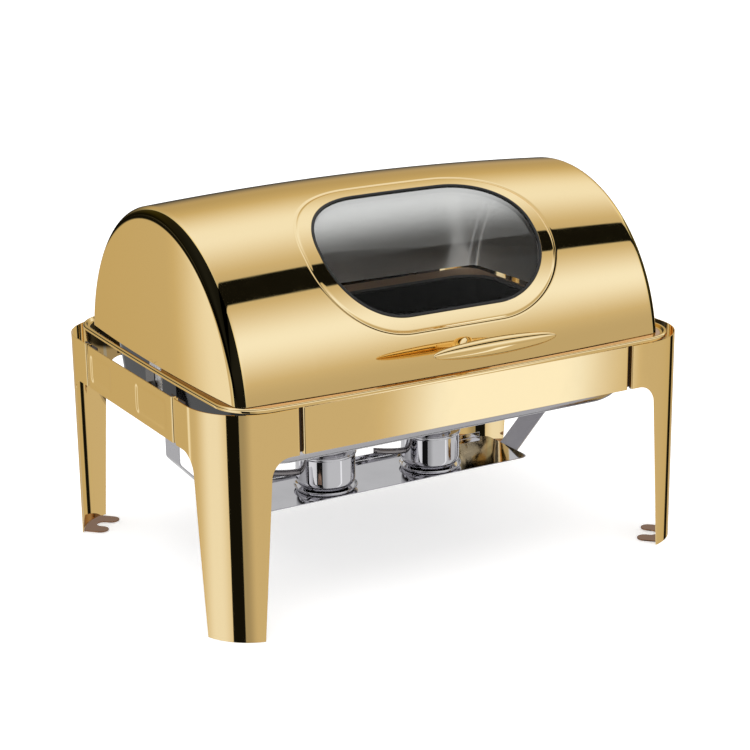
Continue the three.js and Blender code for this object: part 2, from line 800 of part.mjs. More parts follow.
function addPivot(sx, side) {
  const { pinRadius, headRadius, headThickness, tipLength, spacerRadius, nutRadius, nutThickness } = PIVOT;
  const { earX, earThickness, bracketX, bracketThickness, flangeLength } = PIVOT;
  const span = (from, to) => [sx * from, sx * to].sort((a, b) => a - b);
  const bracketOutside = bracketX + bracketThickness;
  const headOutside = earX - GAP;
  const headInside = headOutside - headThickness;
  const nutInside = bracketOutside + GAP;

  addNode(`lid_ear_${side}`, ear(...span(earX, earX + earThickness)), 'steel');
  addNode(
    `pivot_bracket_${side}`,
    bracket(span(bracketX, bracketOutside), span(bracketX, bracketX + flangeLength)),
    'steel',
  );
  const head = rod(...span(headInside, headOutside), 0, AXIS_Z, headRadius);
  const shaft = rod(...span(headInside, bracketOutside + tipLength), 0, AXIS_Z, pinRadius);
  addNode(`pivot_pin_${side}`, shaft.add(head), 'steel');
  const spacer = pinCollar(span(earX + earThickness + GAP, bracketX - GAP), spacerRadius, 16);
  addNode(`pivot_spacer_${side}`, spacer, 'steel');
  addNode(`pivot_nut_${side}`, pinCollar(span(nutInside, nutInside + nutThickness), nutRadius, 6), 'steel');
}

function addLid() {
  addNode('lid_shell', domeShell(), 'gold');
  addWindow();
  addHandle();
  addPivot(-1, 'left');
  addPivot(1, 'right');
}

addStand();
addPans();
addBurnerTray();
addLid();

export default model;
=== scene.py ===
"""Visual model of a roll-top chafing dish food warmer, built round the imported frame.

Shapes are drawn in millimetres from the middle of the stand at floor level, then placed in the frame.
X runs along the length, -Y is the front and Z is up.
"""
import json
import math
from typing import NamedTuple

import bmesh
import bpy
import numpy as np
from mathutils import Matrix, Vector


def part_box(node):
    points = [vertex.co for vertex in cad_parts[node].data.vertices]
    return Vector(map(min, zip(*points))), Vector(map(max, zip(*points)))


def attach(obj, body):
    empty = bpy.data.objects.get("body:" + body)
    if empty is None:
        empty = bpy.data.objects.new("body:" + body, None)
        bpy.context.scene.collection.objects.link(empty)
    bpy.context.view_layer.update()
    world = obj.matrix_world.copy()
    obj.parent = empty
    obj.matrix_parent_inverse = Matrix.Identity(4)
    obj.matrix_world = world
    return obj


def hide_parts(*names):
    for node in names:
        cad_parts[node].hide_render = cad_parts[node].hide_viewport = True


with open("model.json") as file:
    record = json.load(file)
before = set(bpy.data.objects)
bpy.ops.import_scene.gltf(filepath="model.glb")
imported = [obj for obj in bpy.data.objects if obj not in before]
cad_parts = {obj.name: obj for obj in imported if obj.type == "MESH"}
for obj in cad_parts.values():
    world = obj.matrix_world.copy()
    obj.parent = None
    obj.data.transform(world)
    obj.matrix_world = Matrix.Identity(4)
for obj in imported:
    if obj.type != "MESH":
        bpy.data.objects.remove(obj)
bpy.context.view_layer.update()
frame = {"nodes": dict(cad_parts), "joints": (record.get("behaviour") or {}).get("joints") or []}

MM = 0.001
SIDES = {"left": -1, "right": 1}
ENDS = {"front": -1, "rear": 1}


# ------------------------------------------------------------------ sizes read from the frame
stand_low, stand_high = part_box("leg_front_left")[0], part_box("leg_rear_right")[1]
ORIGIN = np.array((0, (stand_low.y + stand_high.y) / 2 / MM, 0))


def node_box(node):
    """Lowest and highest corner of a CAD node, in millimetres from the middle of the stand."""
    low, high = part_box(node)
    return np.array(low) / MM - ORIGIN, np.array(high) / MM - ORIGIN


GAP = 0.3
SHEET = 1.2

STAND_HALF = node_box("leg_rear_right")[1]
BAND_TOP = STAND_HALF[2]
BAND_BOTTOM = node_box("rail_front")[0][2]
CORNER_RADIUS = 72.0
LONG_RAIL_HALF = node_box("rail_front")[1][0]
SIDE_RAIL_HALF = node_box("rail_right")[1][1]
LEG_SEAM_X = node_box("leg_rear_right")[0][0]
LEG_SEAM_Y = node_box("leg_rear_right")[0][1]

AXIS_Z = frame["joints"][0]["pos_m"][2] / MM
LID_LOW, LID_HIGH = node_box("lid_shell")
LID_BASE = LID_LOW[2]
END_BOW = 6.5
LID_HALF = LID_HIGH[0] - END_BOW
MIDDLE_RADIUS = LID_HIGH[2] - AXIS_Z
BARREL_BOW = 9.6
LID_FILLET = 14.0
BARREL_END = LID_HALF - LID_FILLET

RING_LOW, RING_HIGH = node_box("pan_ring")
RING_END_BOW = 4.0
RING_SIDE_BOW = 6.0
RING_HALF_X = RING_HIGH[0] - RING_END_BOW
RING_HALF_Y = RING_HIGH[1] - RING_SIDE_BOW
RING_CORNER = 46.0
BEAD_WIDTH = 8.0


# ------------------------------------------------------------------ node graphs
class Graph:
    """Short names for adding and joining shader nodes."""

    def __init__(self, tree):
        self.tree = tree

    def add(self, kind, **settings):
        node = self.tree.nodes.new("ShaderNode" + kind)
        for key, value in settings.items():
            setattr(node, key, value)
        return node

    def feed(self, socket, value):
        if isinstance(value, bpy.types.NodeSocket):
            self.tree.links.new(value, socket)
        else:
            socket.default_value = value

    def math(self, operation, *values):
        node = self.add("Math", operation=operation)
        for socket, value in zip(node.inputs, values):
            self.feed(socket, value)
        return node.outputs[0]

    def scale(self, value, low, high, new_low=0.0, new_high=1.0, smooth=False):
        node = self.add("MapRange", interpolation_type="SMOOTHSTEP" if smooth else "LINEAR")
        for socket, item in zip(node.inputs, (value, low, high, new_low, new_high)):
            self.feed(socket, item)
        return node.outputs[0]

    def fill(self, shader, inputs):
        for name, value in inputs.items():
            self.feed(shader.inputs[name], value)

    def split(self, vector):
        node = self.add("SeparateXYZ")
        self.feed(node.inputs[0], vector)
        return node.outputs

    def noise(self, scale, detail=3.0):
        node = self.add("TexNoise")
        place = self.add("TexCoord").outputs["Object"]
        self.fill(node, {"Vector": place, "Scale": scale, "Detail": detail})
        return node.outputs[0]

    def grain(self, scale, low, high):
        """Noise spread over the range from low to high."""
        return self.scale(self.noise(scale), 0.3, 0.7, low, high)

    def ramp(self, value, stops):
        """Stops are (position, grey or colour), with positions from 0 to 1."""
        node = self.add("ValToRGB")
        self.feed(node.inputs[0], value)
        elements = node.color_ramp.elements
        while len(elements) < len(stops):
            elements.new(1.0)
        for element, (position, colour) in zip(elements, stops):
            element.position = position
            grey = (colour,) * 3 if isinstance(colour, (int, float)) else tuple(colour)
            element.color = (*grey, 1.0)
        return node.outputs[0]

    def panels(self, angle, background, panels):
        """Lays panels over a background level, each one over the ones before it."""
        level = background
        for panel in panels:
            away = self.math("ABSOLUTE", self.math("SUBTRACT", angle, panel.middle))
            outside = panel.half_width + panel.softness
            inside = panel.half_width - panel.softness
            cover = self.scale(away, outside, inside, smooth=True)
            level = self.scale(cover, 0.0, 1.0, level, panel.level)
        return level


class Panel(NamedTuple):
    """A softbox, wall or black flag of the studio. Angles are in degrees, and level is 0 black to 1 white."""

    middle: float
    half_width: float
    softness: float
    level: float


DARK = 0.10

# The overhead panels lean: their angle grows by PANEL_LEAN degrees per unit of x past LEAN_START.
PANEL_LEAN = 15.0
LEAN_START = 0.35

# The floor fills the directions whose z is below the first value, the ceiling those above the second.
HORIZON = (-0.16, -0.10)

# Panels above the object, by angle round its long axis: 0 is the front, 90 is overhead, 180 is the rear.
ROOM_WASH = Panel(middle=72, half_width=106, softness=16, level=0.74)
FRONT_SOFTBOX = Panel(middle=34, half_width=18, softness=18, level=0.97)
OVERHEAD_SOFTBOX = Panel(middle=114, half_width=24, softness=22, level=0.96)
OVERHEAD_FLAG = Panel(middle=69, half_width=8, softness=0.8, level=DARK)
ABOVE = (ROOM_WASH, FRONT_SOFTBOX, OVERHEAD_SOFTBOX, OVERHEAD_FLAG)

# Panels round the object, by compass angle: 0 is the front, 90 is the left, 180 is the rear.
PALE_FLOOR = Panel(middle=25, half_width=200, softness=14, level=0.78)
FRONT_SHADE = Panel(middle=38, half_width=12, softness=10, level=0.62)
LEFT_WALL = Panel(middle=88, half_width=26, softness=20, level=0.93)
LEFT_FLAG = Panel(middle=51, half_width=11, softness=0.7, level=DARK)
RIGHT_STRIP_LIGHT = Panel(middle=-34, half_width=3, softness=1.5, level=1.0)
REAR_STRIP_LIGHT = Panel(middle=147, half_width=4, softness=3, level=0.94)
RIGHT_FLAG = Panel(middle=-105, half_width=7, softness=2, level=DARK)
AROUND = (PALE_FLOOR, FRONT_SHADE, LEFT_WALL, LEFT_FLAG, RIGHT_STRIP_LIGHT, REAR_STRIP_LIGHT, RIGHT_FLAG)


def studio_group():
    """A node group that turns a direction into the studio's level there."""
    group = bpy.data.node_groups.new("studio_level", "ShaderNodeTree")
    group.interface.new_socket("Direction", in_out="INPUT", socket_type="NodeSocketVector")
    group.interface.new_socket("Level", in_out="OUTPUT", socket_type="NodeSocketFloat")
    graph = Graph(group)
    entry = group.nodes.new("NodeGroupInput")
    leave = group.nodes.new("NodeGroupOutput")
    x, y, z = graph.split(entry.outputs[0])
    front = graph.math("MULTIPLY", y, -1.0)
    left = graph.math("MULTIPLY", x, -1.0)

    over = graph.math("DEGREES", graph.math("ARCTAN2", z, front))
    over = graph.math("WRAP", over, 270.0, -90.0)
    lean = graph.math("MULTIPLY", graph.math("SUBTRACT", x, LEAN_START), PANEL_LEAN)
    over = graph.math("SUBTRACT", over, lean)
    ceiling = graph.panels(over, DARK, ABOVE)

    round_about = graph.math("DEGREES", graph.math("ARCTAN2", left, front))
    round_about = graph.math("WRAP", round_about, 205.0, -155.0)
    floor = graph.panels(round_about, DARK, AROUND)

    above = graph.scale(z, *HORIZON, smooth=True)
    level = graph.scale(above, 0.0, 1.0, floor, ceiling)
    graph.feed(leave.inputs[0], level)
    return group


STUDIO = studio_group()


def studio_level(graph, direction):
    node = graph.add("Group")
    node.node_tree = STUDIO
    graph.feed(node.inputs[0], direction)
    return node.outputs[0]


# A level's light is FULL_LIGHT times the level raised to DISPLAY_GAMMA.
FULL_LIGHT = 1.12
DISPLAY_GAMMA = 2.2

# The lacquered gold's colour by the level it mirrors, and its colour at grazing angles.
UNLIT_GOLD = (0.012, 0.010, 0.005)
SHADE_GOLD = (0.90, 0.70, 0.30)
PLAIN_GOLD = (0.89, 0.61, 0.24)
GLARE_GOLD = (0.89, 0.745, 0.46)
GRAZING_GOLD = (0.88, 0.74, 0.50)
GOLD_BY_LEVEL = (
    (0.0, UNLIT_GOLD),
    (0.1, SHADE_GOLD),
    (0.4, SHADE_GOLD),
    (0.65, PLAIN_GOLD),
    (0.80, PLAIN_GOLD),
    (0.97, GLARE_GOLD),
)


# ------------------------------------------------------------------ materials
def new_material(name):
    material = bpy.data.materials.new(name)
    material.use_nodes = True
    graph = Graph(material.node_tree)
    return material, graph, material.node_tree.nodes["Principled BSDF"]


def bump(graph, shader, height, distance):
    node = graph.add("Bump")
    graph.fill(node, {"Height": height, "Distance": distance})
    graph.feed(shader.inputs["Normal"], node.outputs[0])


def painted_dark_lid_edge(graph, reflection):
    """1 where the lid's rounded edges mirror the sides, or its crest mirrors the rear, else 0. There the gold
    is painted black: a painted dark reflection.
    """
    x, y, z = graph.split(reflection)
    place = graph.split(graph.add("TexCoord").outputs["Object"])
    out = graph.math("ABSOLUTE", place[0])
    band_start, fade = BARREL_END - 5, 1.0
    past_barrel = graph.scale(out, (band_start - fade) * MM, (band_start + fade) * MM)
    band_stop, fade = LID_HALF - 0.8, 0.4
    before_end_wall = graph.scale(out, (band_stop + fade) * MM, (band_stop - fade) * MM)
    to_a_side = graph.math("MAXIMUM", graph.scale(x, 0.08, -0.06, smooth=True), graph.scale(x, 0.80, 0.90))
    rounded_edge = graph.math("MULTIPLY", past_barrel, to_a_side)
    crest = graph.math("MULTIPLY", graph.scale(y, 0.5, 0.7), graph.scale(z, 0.02, -0.06))
    return graph.math("MULTIPLY", graph.math("MAXIMUM", rounded_edge, crest), before_end_wall)


def gold_material(name, painted_dark_edge=False):
    """Mirror gold. Its tint follows the part of the studio that it mirrors, and the edge option paints the
    lid's rounded edges black, a painted dark reflection.
    """
    material, graph, shader = new_material(name)
    reflection = graph.add("TexCoord").outputs["Reflection"]
    level = studio_level(graph, reflection)
    # Painted dark reflection: the level falls to nothing on the lid's rounded edges and crest.
    if painted_dark_edge:
        level = graph.scale(painted_dark_lid_edge(graph, reflection), 0.0, 1.0, level, 0.0)
    graph.fill(shader, {
        "Base Color": graph.ramp(level, GOLD_BY_LEVEL),
        "Metallic": 1.0,
        "Specular Tint": (*GRAZING_GOLD, 1.0),
        "Roughness": graph.scale(graph.noise(70.0), 0.35, 0.75, 0.025, 0.06),
    })
    bump(graph, shader, graph.noise(14.0, 1.0), 0.00006)
    return material


def steel_material(name, colour, rough_low, rough_high, wave=0.00008):
    material, graph, shader = new_material(name)
    darker = tuple(c * 0.93 for c in colour)
    graph.fill(shader, {
        "Base Color": graph.ramp(graph.noise(25.0, 4.0), [(0.35, darker), (0.65, colour)]),
        "Metallic": 1.0,
        "Roughness": graph.grain(90.0, rough_low, rough_high),
    })
    bump(graph, shader, graph.noise(16.0, 1.0), wave)
    return material


def pan_material():
    """Dark walls, and a floor painted lighter where it faces up: painted light."""
    material, graph, shader = new_material("dark_pan")
    normal = graph.split(graph.add("NewGeometry").outputs["Normal"])
    # Painted light: the base colour grows lighter the more the face points up.
    facing_up = graph.math("ADD", normal[2], graph.grain(60.0, -0.03, 0.03))
    graph.fill(shader, {
        "Base Color": graph.ramp(facing_up, [(0.60, 0.006), (0.97, 0.065)]),
        "Specular IOR Level": 0.25,
        "Roughness": graph.grain(20.0, 0.14, 0.22),
    })
    return material


def liner_material():
    """The lid's bright satin inside, which catches the light that comes in through the window."""
    material, graph, shader = new_material("lid_liner")
    graph.fill(shader, {
        "Base Color": graph.ramp(graph.noise(25.0, 4.0), [(0.35, 0.84), (0.65, 0.88)]),
        "Metallic": 0.30,
        "Roughness": 0.22,
    })
    return material


def shaded_gold_material(name, colour):
    """The same gold, darkened to brown as painted shade: the feet, and the deck under the lid."""
    material, graph, shader = new_material(name)
    darker = tuple(c * 0.85 for c in colour)
    graph.fill(shader, {
        "Base Color": graph.ramp(graph.noise(30.0), [(0.3, darker), (0.7, colour)]),
        "Metallic": 1.0,
        "Roughness": graph.grain(70.0, 0.08, 0.14),
    })
    return material


def pan_steel_material():
    """Polished steel under the stand. Inside the band its colour is painted near black, as painted shade."""
    material, graph, shader = new_material("pan_steel")
    height = graph.split(graph.add("TexCoord").outputs["Object"])[2]
    # Painted shade: the colour turns near black from just below the band upward.
    below, inside = BAND_BOTTOM - 6, BAND_BOTTOM + 2
    shaded = graph.scale(height, below * MM, inside * MM, smooth=True)
    graph.fill(shader, {
        "Base Color": graph.ramp(shaded, [(0.0, (0.56, 0.55, 0.57)), (1.0, 0.02)]),
        "Metallic": 1.0,
        "Roughness": graph.grain(90.0, 0.12, 0.20),
    })
    return material


def seam_material():
    """Gold sheet behind a seam, coloured near black: painted shade."""
    material, graph, shader = new_material("seam_shade")
    shades = [(0.3, (0.020, 0.008, 0.003)), (0.7, (0.030, 0.012, 0.004))]
    graph.fill(shader, {"Base Color": graph.ramp(graph.noise(40.0), shades), "Roughness": 0.5})
    return material


def glass_material():
    """A clear pane. Its mirror sheen grows towards grazing angles, and is painted stronger where the pane
    faces up: a painted reflection of the light overhead.
    """
    material, graph, shader = new_material("window_glass")
    clear = graph.add("BsdfTransparent")
    graph.feed(clear.inputs[0], (0.87, 0.87, 0.86, 1.0))
    sheen = graph.add("BsdfGlossy")
    graph.fill(sheen, {"Color": (0.96, 0.97, 0.96, 1.0), "Roughness": 0.0})
    edge = graph.add("Fresnel")
    graph.feed(edge.inputs["IOR"], 1.45)
    mix = graph.add("MixShader")
    normal = graph.split(graph.add("NewGeometry").outputs["Normal"])
    upward = graph.math("ABSOLUTE", normal[2])
    # Painted reflection: the sheen is made stronger where the pane faces up.
    painted_sheen = graph.scale(upward, 0.76, 0.98, 0.0, 0.62, smooth=True)
    graph.feed(mix.inputs[0], graph.math("ADD", graph.math("MULTIPLY", edge.outputs[0], 0.15), painted_sheen))
    graph.feed(mix.inputs[1], clear.outputs[0])
    graph.feed(mix.inputs[2], sheen.outputs[0])
    output = material.node_tree.nodes["Material Output"]
    graph.feed(output.inputs["Surface"], mix.outputs[0])
    material.node_tree.nodes.remove(shader)
    return material


def rubber_material():
    material, graph, shader = new_material("black_rubber")
    grain = graph.noise(1500.0, 2.0)
    graph.fill(shader, {
        "Base Color": graph.ramp(grain, [(0.3, 0.006), (0.7, 0.014)]),
        "Roughness": graph.scale(grain, 0.3, 0.7, 0.45, 0.6),
    })
    bump(graph, shader, grain, 0.00004)
    return material


def floor_material():
    """A nearly white floor with a faint glow, so that it runs out into the white sky."""
    material, graph, shader = new_material("floor")
    graph.fill(shader, {
        "Base Color": graph.ramp(graph.noise(3.0), [(0.3, 0.93), (0.7, 0.95)]),
        "Roughness": 0.9,
        "Specular IOR Level": 0.1,
        "Emission Color": (1.0, 1.0, 1.0, 1.0),
        "Emission Strength": 0.35,
    })
    return material


GOLD = gold_material("gold_mirror")
# The lid's gold has black painted on its rounded edges: a painted dark reflection.
LID_GOLD = gold_material("gold_lid", painted_dark_edge=True)
STEEL = steel_material("polished_steel", (0.74, 0.735, 0.76), 0.03, 0.07)
LINER = liner_material()
SEAM_SHADE = seam_material()
PAN_STEEL = pan_steel_material()
# The feet and the deck get gold darkened to brown: painted shade.
FOOT_GOLD = shaded_gold_material("foot_gold", (0.30, 0.15, 0.07))
DECK_GOLD = shaded_gold_material("deck_gold", (0.74, 0.43, 0.20))
DARK_STEEL = steel_material("knurled_steel", (0.30, 0.28, 0.28), 0.12, 0.25, 0.0006)
SATIN = steel_material("satin_steel", (0.60, 0.60, 0.62), 0.22, 0.34)
# The hinge parts sit behind the band, so their steel is darkened: painted shade.
SHADED_HINGE_STEEL = steel_material("hinge_steel", (0.16, 0.15, 0.14), 0.22, 0.34)
PAN = pan_material()
GLASS = glass_material()
RUBBER = rubber_material()


# ------------------------------------------------------------------ mesh helpers
def add_piece(name, verts, faces, body, nodes, finish, outward_from=None):
    """Makes a mesh piece in the frame, welded, with its faces turned outward."""
    mesh = bpy.data.meshes.new(name)
    points = (np.asarray(verts, float) + ORIGIN) * MM
    mesh.from_pydata([tuple(p) for p in points], [], [list(f) for f in faces])
    work = bmesh.new()
    work.from_mesh(mesh)
    bmesh.ops.remove_doubles(work, verts=work.verts, dist=0.02 * MM)
    bmesh.ops.dissolve_degenerate(work, edges=work.edges, dist=0.01 * MM)
    bmesh.ops.recalc_face_normals(work, faces=work.faces)
    if outward_from is not None:
        middle = Vector((np.asarray(outward_from, float) + ORIGIN) * MM)
        spread = sum(f.normal.dot(f.calc_center_median() - middle) * f.calc_area() for f in work.faces)
        if spread < 0:
            bmesh.ops.reverse_faces(work, faces=work.faces)
    work.to_mesh(mesh)
    work.free()
    mesh.polygons.foreach_set("use_smooth", [True] * len(mesh.polygons))
    for material in finish if isinstance(finish, (list, tuple)) else (finish,):
        mesh.materials.append(material)
    piece = bpy.data.objects.new(name, mesh)
    bpy.context.scene.collection.objects.link(piece)
    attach(piece, body)
    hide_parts(*nodes)
    return piece


FAR_BELOW = (0, 0, -1000)


def thicken(piece, thickness, inner_material=0):
    """Adds thickness behind the faces."""
    modifier = piece.modifiers.new("sheet", "SOLIDIFY")
    modifier.thickness = thickness * MM
    modifier.offset = -1.0
    modifier.use_even_offset = True
    modifier.material_offset = inner_material


def round_edges(piece, width, segments=2, angle=35):
    modifier = piece.modifiers.new("edges", "BEVEL")
    modifier.width = width * MM
    modifier.segments = segments
    modifier.limit_method = "ANGLE"
    modifier.angle_limit = math.radians(angle)
    modifier.use_clamp_overlap = True
    return modifier


def soften(piece, width, segments=2, angle=35):
    """Rounds the hard edges, then evens the shading so that flat faces stay flat."""
    round_edges(piece, width, segments, angle)
    even = piece.modifiers.new("shading", "WEIGHTED_NORMAL")
    even.keep_sharp = False


def arc(cx, cy, radius, start, stop, steps=8):
    angles = np.radians(np.linspace(start, stop, steps + 1))
    return np.column_stack((cx + radius * np.cos(angles), cy + radius * np.sin(angles)))


def distances(path):
    steps = np.linalg.norm(np.diff(path, axis=0), axis=1)
    return np.concatenate(([0.0], np.cumsum(steps)))


def ring_quads(rings, count, closed=False):
    """Quads between closed loops of equal length. closed joins the last loop to the first."""
    faces = []
    for ring in range(rings if closed else rings - 1):
        here, there = ring * count, ((ring + 1) % rings) * count
        for i in range(count):
            j = (i + 1) % count
            faces.append((here + i, here + j, there + j, there + i))
    return faces


def grid_quads(rows, columns, keep=lambda row, column: True):
    return [
        (r * columns + c, r * columns + c + 1, (r + 1) * columns + c + 1, (r + 1) * columns + c)
        for r in range(rows - 1)
        for c in range(columns - 1)
        if keep(r, c)
    ]


def rounded_rectangle(half_x, half_y, radius, corner=10, side=2, bow_x=0.0, bow_y=0.0):
    """A closed outline round the origin, with sides that may swell outward in the middle."""
    corners = [
        arc(half_x - radius, -half_y + radius, radius, -90, 0, corner),
        arc(half_x - radius, half_y - radius, radius, 0, 90, corner),
        arc(-half_x + radius, half_y - radius, radius, 90, 180, corner),
        arc(-half_x + radius, -half_y + radius, radius, 180, 270, corner),
    ]
    points = []
    for i, here in enumerate(corners):
        following = corners[(i + 1) % 4][0]
        points.extend(here)
        points.extend(here[-1] + (following - here[-1]) * k / side for k in range(1, side))
    points = np.array(points)
    swell = np.column_stack((
        np.sign(points[:, 0]) * bow_x * (1 - (points[:, 1] / half_y) ** 2),
        np.sign(points[:, 1]) * bow_y * (1 - (points[:, 0] / half_x) ** 2),
    ))
    return points + swell


def outline_normals(outline):
    """Outward unit normals of an outline that runs counter-clockwise."""
    along = np.roll(outline, -1, axis=0) - np.roll(outline, 1, axis=0)
    normals = np.column_stack((along[:, 1], -along[:, 0]))
    return normals / np.linalg.norm(normals, axis=1)[:, None]


def swept(outline, profile):
    """A closed profile of (outward distance, z) carried round a closed outline."""
    normals = outline_normals(outline)
    verts = []
    for distance, z in profile:
        flat = outline + normals * distance
        verts.extend((x, y, z) for x, y in flat)
    return verts, ring_quads(len(profile), len(outline), closed=True)


def stacked(levels):
    """An open shell through outlines of equal length, with a flat face at the first level."""
    count = len(levels[0][0])
    verts = [(x, y, z) for outline, z in levels for x, y in outline]
    return verts, [tuple(range(count))] + ring_quads(len(levels), count)


def turned(profile, place, steps=64):
    """A closed turned shape. The profile is (radius, height) and place maps (x, y, height) into the frame."""
    angles = np.linspace(0, 2 * math.pi, steps, endpoint=False)
    verts = [place(r * math.cos(a), r * math.sin(a), h) for r, h in profile for a in angles]
    return verts, ring_quads(len(profile), steps)


def upright(x, y, z):
    return lambda across, deep, height: (x + across, y + deep, z + height)


def along_x(y, z):
    return lambda across, up, height: (height, y + across, z + up)


def plate(outline, holes=()):
    """A flat face with holes, as triangles, in the outline's own plane."""
    work = bmesh.new()
    edges = []
    for loop in (outline, *holes):
        corners = [work.verts.new((x, y, 0)) for x, y in loop]
        edges += [work.edges.new((corners[i - 1], corners[i])) for i in range(len(corners))]
    bmesh.ops.triangle_fill(work, use_beauty=True, use_dissolve=False, edges=edges)
    work.verts.index_update()
    verts = [(v.co.x, v.co.y) for v in work.verts]
    faces = [tuple(v.index for v in f.verts) for f in work.faces]
    work.free()
    return verts, faces


def bent_sheet(outline, path):
    """A flat outline of (distance along the path, z), folded round a path seen from above."""
    along = distances(path)
    work = bmesh.new()
    work.faces.new([work.verts.new((t, 0, z)) for t, z in outline])
    for t in along[1:-1]:
        parts = work.verts[:] + work.edges[:] + work.faces[:]
        bmesh.ops.bisect_plane(work, geom=parts, dist=1e-5, plane_co=(t, 0, 0), plane_no=(1, 0, 0))
    work.verts.index_update()
    verts = [
        (np.interp(v.co.x, along, path[:, 0]), np.interp(v.co.x, along, path[:, 1]), v.co.z)
        for v in work.verts
    ]
    faces = [tuple(v.index for v in f.verts) for f in work.faces]
    work.free()
    return verts, faces


def border(half_x, half_y, count_x, count_y):
    """Points round a rectangle, evenly spaced on each side."""
    xs = np.linspace(-half_x, half_x, count_x + 1)
    ys = np.linspace(-half_y, half_y, count_y + 1)
    sides = [
        [(x, -half_y) for x in xs[:-1]],
        [(half_x, y) for y in ys[:-1]],
        [(x, half_y) for x in xs[:0:-1]],
        [(-half_x, y) for y in ys[:0:-1]],
    ]
    return np.array([p for side in sides for p in side])


def patch_round_opening(rectangle, half_x, half_y, radius, offsets, lift, fill=False, spread=1):
    """Quads from a rounded opening out to a rectangle: vertices are (u, v, height above the surface).

    spread is how many steps lead from the last offset to the rectangle.
    """
    core = np.clip(rectangle, (-half_x + radius, -half_y + radius), (half_x - radius, half_y - radius))
    direction = rectangle - core
    direction /= np.linalg.norm(direction, axis=1)[:, None]
    verts = []
    for offset in offsets:
        ring = core + direction * (radius + offset)
        verts.extend((u, v, lift(offset)) for u, v in ring)
    for step in range(1, spread + 1):
        verts.extend((u, v, 0.0) for u, v in ring + (rectangle - ring) * step / spread)
    faces = ring_quads(len(offsets) + spread, len(rectangle))
    if fill:
        faces.append(tuple(range(len(rectangle))))
    return verts, faces


def joined(*parts):
    """Several (verts, faces) as one."""
    verts, faces = [], []
    for part_verts, part_faces in parts:
        start = len(verts)
        verts.extend(part_verts)
        faces.extend(tuple(i + start for i in face) for face in part_faces)
    return verts, faces


# ------------------------------------------------------------------ stand
EDGE_BEND = 2.0
EDGE_RETURN = 5.0
SHOULDER = 23.0

# A leg's width at the band and at the floor, seen from the front and from the side.
LEG_WIDTH = {"front": (65.0, 53.0), "side": (60.0, 47.0)}


def add_gold_sheet(name, verts, faces, node):
    piece = add_piece(name, verts, faces, "stand", [node], GOLD, outward_from=(0, 0, AXIS_Z))
    thicken(piece, SHEET)
    soften(piece, 0.4)


def leg_path():
    """The leg's outer face seen from above where x and y are positive, long seam to side seam."""
    x, y, r = STAND_HALF[0], STAND_HALF[1], CORNER_RADIUS
    return np.vstack((
        [(LEG_SEAM_X, y - EDGE_RETURN)],
        arc(LEG_SEAM_X + EDGE_BEND, y - EDGE_BEND, EDGE_BEND, 180, 90, 5),
        arc(x - r, y - r, r, 90, 0, 30),
        arc(x - EDGE_BEND, LEG_SEAM_Y + EDGE_BEND, EDGE_BEND, 0, -90, 5),
        [(x - EDGE_RETURN, LEG_SEAM_Y)],
    ))


def leg_side_edge(outer, widths):
    """The inner edge of a leg seen face on, from the band's lower edge down to the floor."""
    top, foot = outer - widths[0], outer - widths[1]
    return np.vstack((arc(top - SHOULDER, BAND_BOTTOM - SHOULDER, SHOULDER, 90, 0, 12), [(foot, 0.0)]))


def add_leg(end, side):
    path = leg_path()
    along = distances(path)
    peak_x = int(np.argmax(path[:, 0]))
    peak_y = int(np.argmax(path[:, 1]))
    front = leg_side_edge(STAND_HALF[0], LEG_WIDTH["front"])
    beside = leg_side_edge(STAND_HALF[1], LEG_WIDTH["side"])
    front_t = np.interp(front[:, 0], path[: peak_x + 1, 0], along[: peak_x + 1])
    back_to_peak = slice(None, peak_y - 1, -1)
    side_t = np.interp(beside[:, 0], path[back_to_peak, 1], along[back_to_peak])
    outline = [(0.0, BAND_TOP), (0.0, BAND_BOTTOM)]
    outline += list(zip(front_t, front[:, 1]))
    outline += list(zip(side_t, beside[:, 1]))[::-1]
    outline += [(along[-1], BAND_BOTTOM), (along[-1], BAND_TOP)]
    verts, faces = bent_sheet(outline, path)
    verts = [(SIDES[side] * x, ENDS[end] * y, z) for x, y, z in verts]
    add_gold_sheet(f"stand_leg_{end}_{side}", verts, faces, f"leg_{end}_{side}")


def rail_path(face, half):
    """A rail seen from above, for a face at positive y, with its ends bent inward."""
    bend = 3.0
    return np.vstack((
        [(-half, face - 2 * bend)],
        arc(-half + bend, face - bend, bend, 180, 90, 6),
        arc(half - bend, face - bend, bend, 90, 0, 6),
        [(half, face - 2 * bend)],
    ))


def add_long_rail(end):
    path = rail_path(STAND_HALF[1], LONG_RAIL_HALF)
    length = distances(path)[-1]
    outline = [(0, BAND_BOTTOM), (length, BAND_BOTTOM), (length, BAND_TOP), (0, BAND_TOP)]
    verts, faces = bent_sheet(outline, path)
    verts = [(x, ENDS[end] * y, z) for x, y, z in verts]
    add_gold_sheet(f"stand_rail_{end}", verts, faces, f"rail_{end}")


# The two pressed panels of a side rail, each from its front end to its rear end.
PANELS = ((-106.0, -20.0), (50.0, 114.0))
PANEL_MARGIN, PANEL_RADIUS, PANEL_DEPTH = 7.0, 9.0, 0.75
PANEL_BORDER = 3.0
SLOPE_START, SLOPE_WIDTH = 0.5, 7.0
PANEL_COLUMNS, RAIL_ROWS = 24, 8


def panel_lift(offset):
    """The face's height near a panel's outline: level outside it, then an easy slope down to the panel."""
    share = np.clip(1 + (offset - SLOPE_START) / SLOPE_WIDTH, 0, 1)
    return -PANEL_DEPTH * (1 - share ** 2 * (3 - 2 * share))


